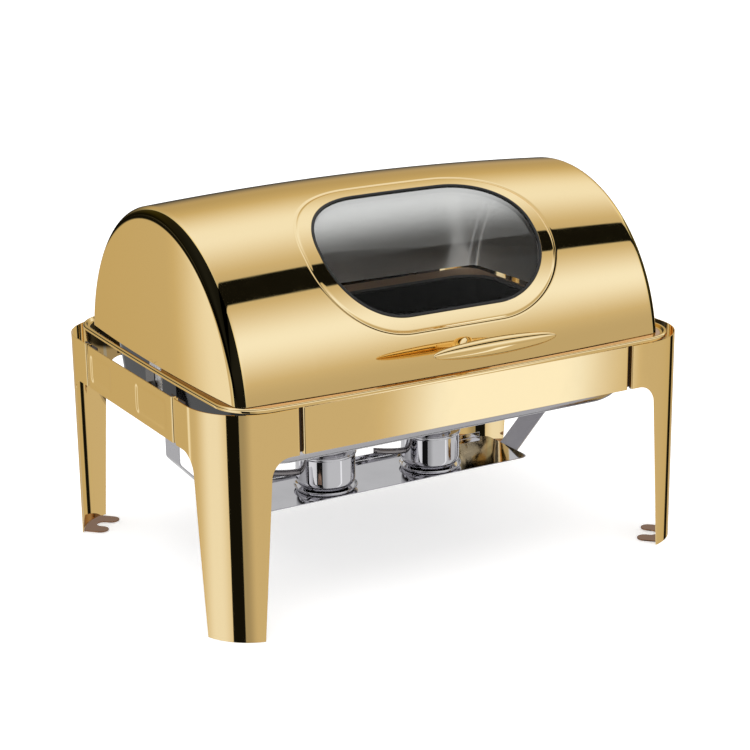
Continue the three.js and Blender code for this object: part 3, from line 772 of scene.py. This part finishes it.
def add_side_rail(side):
    """The side rail carries two pressed panels, sunk below its face."""
    half_z = (BAND_TOP - BAND_BOTTOM) / 2
    middle_z = BAND_TOP - half_z
    path = rail_path(STAND_HALF[0], SIDE_RAIL_HALF)
    along = distances(path)
    start = np.interp(0.0, path[:, 0], along)
    cells = [(front - PANEL_BORDER, rear + PANEL_BORDER) for front, rear in PANELS]
    rows = np.linspace(-half_z, half_z, RAIL_ROWS + 1)
    columns = np.sort(np.concatenate((along - start, *cells)))

    def outside_panels(_, column):
        middle = (columns[column] + columns[column + 1]) / 2
        return not any(front < middle < rear for front, rear in cells)

    flat = [(u, v, 0.0) for v in rows for u in columns]
    parts = [(flat, grid_quads(len(rows), len(columns), outside_panels))]
    offsets = np.linspace(SLOPE_START - SLOPE_WIDTH, SLOPE_START, 9)
    for front, rear in PANELS:
        middle, half = (front + rear) / 2, (rear - front) / 2
        rectangle = border(half + PANEL_BORDER, half_z, PANEL_COLUMNS, RAIL_ROWS)
        verts, faces = patch_round_opening(
            rectangle, half, half_z - PANEL_MARGIN, PANEL_RADIUS, offsets, panel_lift, fill=True)
        parts.append(([(u + middle, v, h) for u, v, h in verts], faces))
    verts, faces = joined(*parts)
    bent = []
    for u, v, lift in verts:
        along_face = np.interp(u + start, along, path[:, 0])
        face = np.interp(u + start, along, path[:, 1])
        bent.append((SIDES[side] * (face + lift), along_face, middle_z + v))
    add_gold_sheet(f"stand_rail_{side}", bent, faces, f"rail_{side}")


FOOT_REACH = 34.0
FOOT_LOBE_HALF = 27.0
FOOT_SLOT_HALF = 8.0
FOOT_SLOT_DEPTH = 22.0
FOOT_THICKNESS = 1.5


def add_foot(end, side):
    """A slotted plate in the bottom of the leg, drawn along the corner's diagonal."""
    inner = CORNER_RADIUS - SHEET - GAP
    lobe = (FOOT_LOBE_HALF - FOOT_SLOT_HALF) / 2
    lobe_middle = FOOT_SLOT_HALF + lobe
    sweep = math.degrees(math.asin(FOOT_LOBE_HALF / inner))
    tip = inner - FOOT_REACH + lobe
    root = inner - FOOT_REACH + FOOT_SLOT_DEPTH - FOOT_SLOT_HALF
    diagonal = np.vstack((
        arc(0, 0, inner, -sweep, sweep, 10),
        arc(tip, lobe_middle, lobe, 90, 270, 12),
        arc(root, 0, FOOT_SLOT_HALF, 90, -90, 12),
        arc(tip, -lobe_middle, lobe, 90, 270, 12),
    ))
    half = math.sqrt(0.5)
    verts = []
    for x, y in diagonal:
        across, deep = (x - y) * half, (x + y) * half
        verts.append((
            SIDES[side] * (STAND_HALF[0] - CORNER_RADIUS + across),
            ENDS[end] * (STAND_HALF[1] - CORNER_RADIUS + deep),
            FOOT_THICKNESS,
        ))
    piece = add_piece(f"stand_foot_{end}_{side}", verts, [tuple(range(len(verts)))], "stand",
                      [f"foot_{end}_{side}"], FOOT_GOLD, outward_from=FAR_BELOW)
    thicken(piece, FOOT_THICKNESS)
    soften(piece, 0.4)


# ------------------------------------------------------------------ pan ring and pans
BEAD_RADIUS = 2.6


def add_pan_ring():
    """The ring's rolled rim, and the deck inside it that carries the food pan."""
    outline = rounded_rectangle(RING_HALF_X, RING_HALF_Y, RING_CORNER, 16, 40, RING_END_BOW, RING_SIDE_BOW)
    base = RING_LOW[2]
    top = base + SHEET
    bead_middle = RING_HIGH[2] - BEAD_RADIUS
    profile = [(-BEAD_WIDTH, top), (-BEAD_WIDTH, base), (-0.5, base), (0.0, base + 0.5)]
    profile += [tuple(p) for p in arc(-BEAD_RADIUS, bead_middle, BEAD_RADIUS, 0, 120, 12)]
    profile += [(-2 * BEAD_RADIUS, top + 0.4), (-2 * BEAD_RADIUS - 0.6, top)]
    verts, faces = swept(outline, profile)
    piece = add_piece("ring_rim", verts, faces, "stand", ["pan_ring"], GOLD)
    soften(piece, 0.25, 2, 50)

    verts, faces = plate(deck_outline(), [pan_opening()])
    deck = add_piece("ring_deck", [(x, y, top) for x, y in verts], faces, "stand",
                     [], DECK_GOLD, outward_from=(0, 0, 0))
    thicken(deck, SHEET)
    soften(deck, 0.4)


def deck_outline():
    """In front the deck meets the rim. Behind the pivots it steps inward, so that the lid can roll past."""
    inset = BEAD_WIDTH - 0.1
    step_y, step_radius, step_x = -20.0, 9.0, 290.5
    rear_x, rear_y, rear_corner = 272.0, 199.0, 26.0
    half_x, half_y, corner = RING_HALF_X - inset, RING_HALF_Y - inset, RING_CORNER - inset
    whole = rounded_rectangle(half_x, half_y, corner, 12, 24, RING_END_BOW, RING_SIDE_BOW)
    front = [tuple(p) for p in whole if p[0] > 0 and p[1] < step_y - step_radius]
    front.sort(key=lambda p: math.atan2(p[0], -p[1]))
    step = arc(step_x - step_radius, step_y - step_radius, step_radius, 0, 180, 8)
    rear = arc(rear_x - rear_corner, rear_y - rear_corner, rear_corner, 0, 90, 8)
    right = front + [tuple(p) for p in step] + [tuple(p) for p in rear]
    left = [(-x, y) for x, y in right[::-1]]
    return right + left


def pan_opening():
    rim_cover, corner = 11, 45.0
    pan_high = node_box("food_pan")[1]
    return rounded_rectangle(pan_high[0] - rim_cover, pan_high[1] - rim_cover, corner, 10, 2)


def tub(levels):
    """Outlines for a pan. Each level is (half length, half depth, height, corner radius)."""
    return [(rounded_rectangle(x, y, corner, 12, 6), z) for x, y, z, corner in levels]


def add_water_pan():
    low, high = node_box("water_pan")
    bottom, top = low[2], high[2]
    wall_slope, inset_x, inset_y, floor_rise, corner = 7.0, 30.0, 9.0, 20.0, 48.0
    levels = []
    for angle in np.radians(np.linspace(-90, 0, 13)):
        turn_in = 1 - math.cos(angle)
        across, deep = wall_slope + inset_x * turn_in, wall_slope + inset_y * turn_in
        height = bottom + floor_rise * (1 + math.sin(angle))
        levels.append((high[0] - across, high[1] - deep, height, corner - deep))
    levels.append((high[0], high[1], top, corner))
    verts, faces = stacked(tub(levels))
    piece = add_piece("water_pan_shell", verts, faces, "stand", ["water_pan"], PAN_STEEL,
                      outward_from=(0, 0, (bottom + top) / 2))
    thicken(piece, 1.0)
    soften(piece, 0.3, 2, 50)


def add_food_pan():
    low, high = node_box("food_pan")
    rim_x, rim_y, top = high
    bottom = low[2]
    rim_width, wall_slope, corner, rim_corner = 13, 7, 43.0, 49.5
    wall_x, wall_y = rim_x - rim_width, rim_y - rim_width
    bend, lip, rim_edge = 9.0, 2.0, 0.5
    levels = []
    for angle in np.radians(np.linspace(-90, 0, 8)):
        inset = wall_slope + bend * (1 - math.cos(angle))
        height = bottom + bend * (1 + math.sin(angle))
        levels.append((wall_x - inset, wall_y - inset, height, corner - inset))
    for angle in np.radians((0, 30, 60, 90)):
        grow = lip * (1 - math.cos(angle))
        height = top - lip + lip * math.sin(angle)
        levels.append((wall_x + grow, wall_y + grow, height, corner + grow))
    levels.append((rim_x - rim_edge, rim_y - rim_edge, top, rim_corner - rim_edge))
    levels.append((rim_x, rim_y, top - rim_edge, rim_corner))
    verts, faces = stacked(tub(levels))
    piece = add_piece("food_pan_shell", verts, faces, "food_pan", ["food_pan"], PAN)
    floor = piece.data.polygons[0]
    if floor.normal.z < 0:
        piece.data.flip_normals()
    thicken(piece, 1.0)
    soften(piece, 0.3, 2, 50)


# ------------------------------------------------------------------ burner tray
def strip(path, half_width, sign=1):
    """A bent strip: the path is (x, z), the width runs along y. Bends are rounded by the path itself."""
    verts, faces = [], []
    for x, z in path:
        verts += [(sign * x, -half_width, z), (sign * x, half_width, z)]
    for i in range(len(path) - 1):
        a = 2 * i
        faces.append((a, a + 2, a + 3, a + 1))
    return verts, faces


def rounded_corner(before, corner, after, bend, steps=6):
    """A quadratic curve that leaves and rejoins the path at a distance of bend from the corner."""
    before, corner, after = map(np.array, (before, corner, after))
    start = corner + (before - corner) / np.linalg.norm(before - corner) * bend
    stop = corner + (after - corner) / np.linalg.norm(after - corner) * bend
    points = []
    for share in np.linspace(0, 1, steps + 1):
        rest = 1 - share
        points.append(tuple(rest ** 2 * start + 2 * share * rest * corner + share ** 2 * stop))
    return points


def add_hanger(side):
    low, high = node_box(f"hanger_{side}")
    outer = max(abs(low[0]), abs(high[0]))
    half_width, thickness = high[1], 1.5
    knee_z, foot_x, foot_length, bend = 141.0, 202.0, 24.0, 4.0
    corners = [(outer, high[2]), (outer, knee_z), (foot_x, low[2]), (foot_x - foot_length, low[2])]
    path = [corners[0]]
    for before, corner, after in zip(corners, corners[1:], corners[2:]):
        path += rounded_corner(before, corner, after, bend)
    path.append(corners[-1])
    verts, faces = strip(path, half_width, SIDES[side])
    piece = add_piece(f"tray_hanger_{side}", verts, faces, "stand",
                      [f"hanger_{side}"], PAN_STEEL, outward_from=(0, 0, 200))
    thicken(piece, thickness)
    soften(piece, 0.3)


def add_tray():
    high = node_box("burner_tray")[1]
    lip, thickness, radius = 6.0, 1.2, 10.0
    top = high[2] - lip
    outline = rounded_rectangle(high[0], high[1] - thickness, radius, 8, 2)
    verts, faces = [(x, y, top) for x, y in outline], [tuple(range(len(outline)))]
    piece = add_piece("tray_plate", verts, faces, "stand", ["burner_tray"], STEEL,
                      outward_from=FAR_BELOW)
    thicken(piece, thickness)
    soften(piece, 0.4)

    lip_x, lip_base, lip_top = high[0] - radius, top - thickness / 2, high[2]
    corners = [(-lip_x, lip_base), (lip_x, lip_base), (lip_x, lip_top), (-lip_x, lip_top)]
    verts = [(x, high[1], z) for x, z in corners]
    lip_piece = add_piece("tray_rear_lip", verts, [(0, 1, 2, 3)], "stand", [], STEEL,
                          outward_from=(0, 1000, top))
    thicken(lip_piece, thickness)
    soften(lip_piece, 0.4)


# ------------------------------------------------------------------ burners
BURNER_SHEET = 1.2


def round_size(node):
    """The radius and the height of a round node."""
    low, high = node_box(node)
    return (high[0] - low[0]) / 2, high[2] - low[2]


def add_round_piece(name, node, body, centre, profile, material, steps=96, edge=0.2, angle=50):
    base = node_box(node)[0][2]
    verts, faces = turned(profile, upright(*centre, base), steps)
    piece = add_piece(name, verts, faces, body, [node], material)
    soften(piece, edge, 2, angle)


def add_saucer(side, centre):
    node = f"burner_saucer_{side}"
    r, rim = round_size(node)
    profile = [
        (0, 0), (r - 4, 0), (r - 2, 0.8), (r, rim - 1), (r, rim - 0.4), (r - 0.5, rim),
        (r - 1.2, rim - 0.5), (r - 3.2, 1.9), (r - 5, BURNER_SHEET), (0, BURNER_SHEET),
    ]
    add_round_piece(f"saucer_{side}", node, "stand", centre, profile, STEEL, angle=45)


def add_pot(side, centre):
    """An open pot with a rounded foot and a rolled lip."""
    node = f"burner_pot_{side}"
    lip_r, height = round_size(node)
    r, foot = lip_r - 1.5, 14.0
    outer_round = arc(r - foot, foot, foot, -90, 0, 12)
    inner_round = arc(r - foot, foot, foot - BURNER_SHEET, 0, -90, 12)
    profile = [
        (0, 0), *map(tuple, outer_round), (r, height - 4), (r + 0.6, height - 3.2), (lip_r, height - 2),
        (lip_r, height - 0.6), (r + 0.9, height), (r - 0.6, height), (r - BURNER_SHEET, height - 0.8),
        *map(tuple, inner_round), (0, BURNER_SHEET),
    ]
    add_round_piece(f"pot_{side}", node, f"burner_{side}", centre, profile, STEEL)


def add_fuel_cup(side, centre):
    node = f"fuel_cup_{side}"
    r, height = round_size(node)
    inside = r - BURNER_SHEET
    profile = [
        (0, 0), (r - 2, 0), (r, 2), (r, height - 1.4), (r, height - 0.6), (r - 0.6, height),
        (inside, height - 0.6), (inside, 3), (r - 3, BURNER_SHEET), (0, BURNER_SHEET),
    ]
    add_round_piece(f"cup_{side}", node, f"burner_{side}", centre, profile, SATIN, steps=72, angle=45)


def add_collar(side, centre):
    """The raised neck round the flame opening."""
    node = f"burner_collar_{side}"
    r, height = round_size(node)
    neck = 27.5
    hole, inside = neck - 4, neck - BURNER_SHEET
    profile = [
        (hole, 0), (r - 0.4, 0), (r, 0.5), (r - 0.3, 1.1), (neck + 2, 1.4), (neck + 0.4, 2.4), (neck, 4),
        (neck, height - 0.8), (neck - 0.6, height), (inside, height - 0.6), (inside, 2.0),
        (neck - 2, BURNER_SHEET), (hole, BURNER_SHEET), (hole, 0),
    ]
    add_round_piece(f"collar_{side}", node, f"burner_{side}", centre, profile, STEEL, edge=0.15)


def add_burner_handle(side):
    """A flat bar that leaves the pot level and rises a little towards its rounded tip."""
    low, high = node_box(f"burner_handle_{side}")
    half_width, thickness = (high[1] - low[1]) / 2, 3.8
    middle_y = (low[1] + high[1]) / 2
    root_x, tip_x = high[0], low[0]
    root_z, tip_z = high[2] - 9, high[2] - 1.5
    tip_round = 0.18
    turn = np.linspace(0, 2 * math.pi, 16, endpoint=False)
    rings = []
    for share in np.linspace(0, 1, 25):
        x = root_x + (tip_x - root_x) * share
        z = root_z + (tip_z - root_z) * share ** 1.5
        into_tip = max(0.0, (share - 1 + tip_round) / tip_round)
        taper = math.sqrt(max(1e-4, 1 - into_tip ** 2))
        width = half_width * taper * (0.75 + 0.25 * share)
        rings.append([(x, middle_y + width * math.cos(a), z + thickness * math.sin(a)) for a in turn])
    verts = [p for ring in rings for p in ring]
    count = len(turn)
    root_cap, tip_cap = range(count), range(len(verts) - count, len(verts))
    faces = ring_quads(len(rings), count) + [tuple(root_cap), tuple(tip_cap)]
    piece = add_piece(f"handle_{side}_burner", verts, faces, f"burner_{side}",
                      [f"burner_handle_{side}"], DARK_STEEL)
    soften(piece, 0.3, 2, 60)


def add_burner(side):
    low, high = node_box(f"burner_saucer_{side}")
    centre = (low[:2] + high[:2]) / 2
    add_saucer(side, centre)
    add_pot(side, centre)
    add_fuel_cup(side, centre)
    add_collar(side, centre)
    add_burner_handle(side)


# ------------------------------------------------------------------ roll-top lid
WINDOW_ANGLE = math.radians(50)
WINDOW_HALF_X, WINDOW_HALF_Y, WINDOW_CORNER = 142.0, 90.0, 84.0
WINDOW_RADIUS = 213.0
PATCH_HALF_X, PATCH_HALF_Y = 187.0, 135.0
PATCH_COLUMNS, PATCH_ROWS = 60, 50
BESIDE_COLUMNS, FRONT_ROWS, REAR_ROWS = 12, 4, 36
GROOVE_OFFSET, GROOVE_WIDTH, GROOVE_DEPTH = 17.5, 1.6, 0.9
END_RADIUS = MIDDLE_RADIUS - BARREL_BOW


def barrel_radius(x):
    return END_RADIUS + BARREL_BOW * (1 - (x / LID_HALF) ** 2)


def on_barrel(x, angle, lift=0.0):
    r = barrel_radius(x) + lift
    return (x, -r * math.cos(angle), AXIS_Z + r * math.sin(angle))


def on_window(u, v, lift=0.0):
    """A point on the barrel at u along it and v round it from the middle of the window."""
    return on_barrel(u, WINDOW_ANGLE + v / WINDOW_RADIUS, lift)


def base_angle(radius):
    return math.asin((LID_BASE - AXIS_Z) / radius)


def groove(offset):
    return -GROOVE_DEPTH * math.exp(-((offset - GROOVE_OFFSET) / GROOVE_WIDTH) ** 2)


def barrel_rows(x):
    """Angles of the barrel's rows at x: they start and end on the lid's level base."""
    low = base_angle(barrel_radius(x))
    patch_low = WINDOW_ANGLE - PATCH_HALF_Y / WINDOW_RADIUS
    patch_high = WINDOW_ANGLE + PATCH_HALF_Y / WINDOW_RADIUS
    return np.concatenate((
        np.linspace(low, patch_low, FRONT_ROWS + 1)[:-1],
        np.linspace(patch_low, patch_high, PATCH_ROWS + 1),
        np.linspace(patch_high, math.pi - low, REAR_ROWS + 1)[1:],
    ))


def lid_barrel():
    beside = np.linspace(PATCH_HALF_X, BARREL_END, BESIDE_COLUMNS + 1)
    across_patch = np.linspace(-PATCH_HALF_X, PATCH_HALF_X, PATCH_COLUMNS + 1)
    columns = np.concatenate((-beside[:0:-1], across_patch, beside[1:]))
    rows = [barrel_rows(x) for x in columns]
    count = len(rows[0])
    verts = [on_barrel(x, angle) for x, angles in zip(columns, rows) for angle in angles]

    def outside_patch(column, row):
        middle = (columns[column] + columns[column + 1]) / 2
        return abs(middle) > PATCH_HALF_X or not FRONT_ROWS <= row < FRONT_ROWS + PATCH_ROWS

    return verts, grid_quads(len(columns), count, outside_patch)


def lid_window_patch():
    rectangle = border(PATCH_HALF_X, PATCH_HALF_Y, PATCH_COLUMNS, PATCH_ROWS)
    fine = GROOVE_OFFSET + GROOVE_WIDTH * np.linspace(-2.6, 2.6, 15)
    offsets = [0.0, 0.8, 3.0, 6.0, 9.5, *fine, 26.0]
    verts, faces = patch_round_opening(
        rectangle, WINDOW_HALF_X, WINDOW_HALF_Y, WINDOW_CORNER, offsets, groove, spread=9)
    return [on_window(u, v, lift) for u, v, lift in verts], faces


def lid_end(sign):
    """The rounded shoulder and the bowed end wall, down to a point at the middle of the base."""
    shoulder = barrel_radius(BARREL_END) - LID_FILLET
    low = base_angle(barrel_radius(BARREL_END))
    shares = (barrel_rows(BARREL_END) - low) / (math.pi - 2 * low)
    profile = [(r, x) for x, r in arc(BARREL_END, shoulder, LID_FILLET, 90, 0, 10)]
    base = LID_BASE - AXIS_Z
    for share in np.linspace(0, 1, 19)[1:]:
        r = max(shoulder + (base - shoulder) * share, base * 1.0001)
        profile.append((r, LID_HALF + END_BOW * (1 - (r / shoulder) ** 2)))
    verts = []
    for r, x in profile:
        start = base_angle(r)
        for share in shares:
            angle = start + share * (math.pi - 2 * start)
            verts.append((sign * x, -r * math.cos(angle), AXIS_Z + r * math.sin(angle)))
    return verts, grid_quads(len(profile), len(shares))


def add_lid_shell():
    verts, faces = joined(lid_barrel(), lid_window_patch(), lid_end(-1), lid_end(1))
    piece = add_piece("lid_dome", verts, faces, "lid", ["lid_shell"], [LID_GOLD, LINER],
                      outward_from=(0, 0, AXIS_Z))
    thicken(piece, SHEET, inner_material=1)
    round_edges(piece, 0.3, 2, 50).harden_normals = True


def window_ring(offset):
    return rounded_rectangle(
        WINDOW_HALF_X + offset, WINDOW_HALF_Y + offset, WINDOW_CORNER + offset, 28, 24)


def window_band(profile):
    """A closed profile of (offset from the opening, lift) carried round the window."""
    verts = []
    count = 0
    for offset, lift in profile:
        ring = window_ring(offset)
        count = len(ring)
        verts.extend(on_window(u, v, lift) for u, v in ring)
    return verts, ring_quads(len(profile), count, closed=True)


def add_window():
    glass_front = -SHEET - GAP
    glass_thickness = 3.0
    overlap = 8.0
    bands = 14
    ring = window_ring(overlap)
    shares = np.linspace(1, 0, bands + 1)[:-1]
    verts = [on_window(u * share, v * share, glass_front) for share in shares for u, v in ring]
    faces = ring_quads(bands, len(ring))
    hub = len(verts)
    verts.append(on_window(0, 0, glass_front))
    last = hub - len(ring)
    faces += [(last + i, last + (i + 1) % len(ring), hub) for i in range(len(ring))]
    glass = add_piece("window_pane", verts, faces, "lid", ["window_glass"], GLASS,
                      outward_from=(0, 0, AXIS_Z))
    thicken(glass, glass_thickness)

    gasket = [(-0.3, -1.1), (-0.3, 0.1), (-0.9, 0.6), (-2.0, 0.75), (-3.0, 0.4), (-3.5, -0.4), (-3.5, -1.1)]
    verts, faces = window_band(gasket)
    add_piece("window_seal", verts, faces, "lid", ["window_gasket"], RUBBER)

    back = glass_front - glass_thickness - GAP
    frame_in = [(overlap, back), (overlap, back - SHEET), (-2, back - SHEET), (-2, back)]
    verts, faces = window_band(frame_in)
    piece = add_piece("window_clamp", verts, faces, "lid", ["window_retainer"], STEEL)
    soften(piece, 0.2, 2, 50)


def add_handle():
    low, high = node_box("handle_bar")
    middle = (low + high) / 2
    half_length = (high[0] - low[0]) / 2
    mid_radius = (high[2] - low[2]) / 2
    end_radius = 5.0
    profile = []
    for share in np.sin(np.linspace(-math.pi / 2, math.pi / 2, 61)):
        swell = end_radius + (mid_radius - end_radius) * math.cos(share * math.pi / 2)
        profile.append((swell * math.sqrt(max(0.0, 1 - share ** 8)), share * half_length))
    verts, faces = turned(profile, along_x(middle[1], middle[2]), 64)
    add_piece("handle_grip", verts, faces, "lid", ["handle_bar"], GOLD)

    add_handle_post(middle[1], middle[2], mid_radius)


def add_handle_post(bar_y, bar_z, bar_radius):
    """The post lies on the line from the bar to the hinge and ends in a flared pad on the barrel."""
    reach = math.hypot(bar_y, bar_z - AXIS_Z)
    rise = math.atan2(bar_z - AXIS_Z, -bar_y)
    stem, pad, steps = 6.0, 11.0, 48
    face = barrel_radius(0)
    inside_bar = reach - bar_radius * 0.7
    profile = [
        (0, inside_bar), (stem, inside_bar), (stem, face + 20), (stem + 0.6, face + 16),
        (stem + 2.2, face + 12), (pad - 0.8, face + 8.6), (pad, face + 7), (pad, face),
    ]
    verts = []
    for r, out in profile:
        for angle in np.linspace(0, 2 * math.pi, steps, endpoint=False):
            across, up = r * math.cos(angle), r * math.sin(angle)
            out_here = out
            if out == face:
                out_here = math.sqrt(barrel_radius(across) ** 2 - up ** 2) + 0.1
            y = up * math.sin(rise) - out_here * math.cos(rise)
            z = up * math.cos(rise) + out_here * math.sin(rise)
            verts.append((across, y, AXIS_Z + z))
    faces = ring_quads(len(profile), steps) + [tuple(range(len(verts) - steps, len(verts)))]
    piece = add_piece("handle_post", verts, faces, "lid", ["handle_stem"], GOLD)
    soften(piece, 0.3, 2, 50)


# ------------------------------------------------------------------ small parts kept from the frame
def dress(node, material):
    """A CAD node whose shape is right: it keeps its mesh and gets a finished material and rounded edges."""
    piece = frame["nodes"][node]
    piece.data.materials.clear()
    piece.data.materials.append(material)
    soften(piece, 0.3)


def dress_small_parts():
    for side in SIDES:
        for end in ENDS:
            dress(f"lap_plate_{end}_{side}", SEAM_SHADE)
            dress(f"lap_plate_{side}_{end}", SEAM_SHADE)
        dress(f"lid_ear_{side}", LINER)
        for part in ("pivot_bracket", "pivot_pin", "pivot_spacer", "pivot_nut"):
            dress(f"{part}_{side}", SHADED_HINGE_STEEL)
    dress("handle_screw", STEEL)


def keep_out_of_mirrors():
    """The lid's polished ends mirror the studio, and not the stand's top edge right beside them."""
    names = [f"stand_rail_{side}" for side in SIDES] + ["ring_rim", "ring_deck"]
    names += [f"stand_leg_{end}_left" for end in ENDS]
    names += [f"{part}_{side}" for side in SIDES for part in ("lid_ear", "pivot_bracket")]
    names += [f"lap_plate_{side}_{end}" for side in SIDES for end in ENDS]
    for name in names:
        piece = frame["nodes"].get(name) or bpy.data.objects[name]
        piece.visible_glossy = False


# ------------------------------------------------------------------ studio
def add_world():
    """Mirrors see the studio. Everything else is lit by a plain white sky."""
    world = bpy.data.worlds.new("studio")
    bpy.context.scene.world = world
    world.use_nodes = True
    graph = Graph(world.node_tree)
    world.node_tree.nodes.clear()
    direction = graph.add("TexCoord").outputs["Generated"]
    level = studio_level(graph, direction)
    light = graph.math("MULTIPLY", graph.math("POWER", level, DISPLAY_GAMMA), FULL_LIGHT)
    mirrored = graph.add("Background")
    graph.feed(mirrored.inputs["Color"], light)
    plain = graph.add("Background")
    graph.fill(plain, {"Color": (1.0, 1.0, 1.0, 1.0), "Strength": 1.15})
    choose = graph.add("MixShader")
    graph.feed(choose.inputs[0], graph.add("LightPath").outputs["Is Glossy Ray"])
    graph.feed(choose.inputs[1], plain.outputs[0])
    graph.feed(choose.inputs[2], mirrored.outputs[0])
    output = graph.add("OutputWorld")
    graph.feed(output.inputs["Surface"], choose.outputs[0])


def add_floor():
    half, drop = 20.0, 0.0005
    corners = [(-half, -half, 0), (half, -half, 0), (half, half, 0), (-half, half, 0)]
    mesh = bpy.data.meshes.new("floor")
    mesh.from_pydata(corners, [], [(0, 1, 2, 3)])
    mesh.materials.append(floor_material())
    floor = bpy.data.objects.new("floor", mesh)
    bpy.context.scene.collection.objects.link(floor)
    floor.location.z = -drop
    floor.visible_glossy = False


def add_softbox():
    lamp = bpy.data.lights.new("softbox", "AREA")
    lamp.shape = "RECTANGLE"
    lamp.size, lamp.size_y = 2.4, 1.6
    lamp.energy = 14.0
    holder = bpy.data.objects.new("softbox", lamp)
    holder.location = (-0.8, -1.4, 2.4)
    aim = Vector((0, 0, 0.2))
    holder.rotation_euler = (aim - holder.location).to_track_quat("-Z", "Y").to_euler()
    holder.visible_glossy = False
    bpy.context.scene.collection.objects.link(holder)


def add_camera():
    azimuth, elevation, roll = (math.radians(a) for a in (29.9, 17.0, -0.7))
    distance, right_shift, up_shift = 2346.6, 3.7, -55.9
    flat = math.cos(elevation)
    back = Vector((-math.sin(azimuth) * flat, -math.cos(azimuth) * flat, math.sin(elevation)))
    right = (-back).cross(Vector((0, 0, 1))).normalized()
    up = right.cross(-back)
    x_axis = right * math.cos(roll) + up * math.sin(roll)
    y_axis = up * math.cos(roll) - right * math.sin(roll)
    place = back * distance + right * right_shift + up * up_shift + Vector((0, 0, BAND_TOP))
    place = (place + Vector(ORIGIN)) * MM
    turn = Matrix((x_axis, y_axis, back)).transposed().to_4x4()
    camera = bpy.data.cameras.new("camera")
    camera.sensor_width = 36.0
    camera.lens = 92.8512
    holder = bpy.data.objects.new("camera", camera)
    holder.matrix_world = Matrix.Translation(place) @ turn
    bpy.context.scene.collection.objects.link(holder)
    bpy.context.scene.camera = holder


# ------------------------------------------------------------------ build
for side in SIDES:
    for end in ENDS:
        add_leg(end, side)
        add_foot(end, side)
    add_side_rail(side)
    add_hanger(side)
    add_burner(side)
for end in ENDS:
    add_long_rail(end)
add_pan_ring()
add_water_pan()
add_food_pan()
add_tray()
add_lid_shell()
add_window()
add_handle()
dress_small_parts()
keep_out_of_mirrors()
add_world()
add_floor()
add_softbox()
bpy.context.scene.view_settings.view_transform = "Standard"
add_camera()
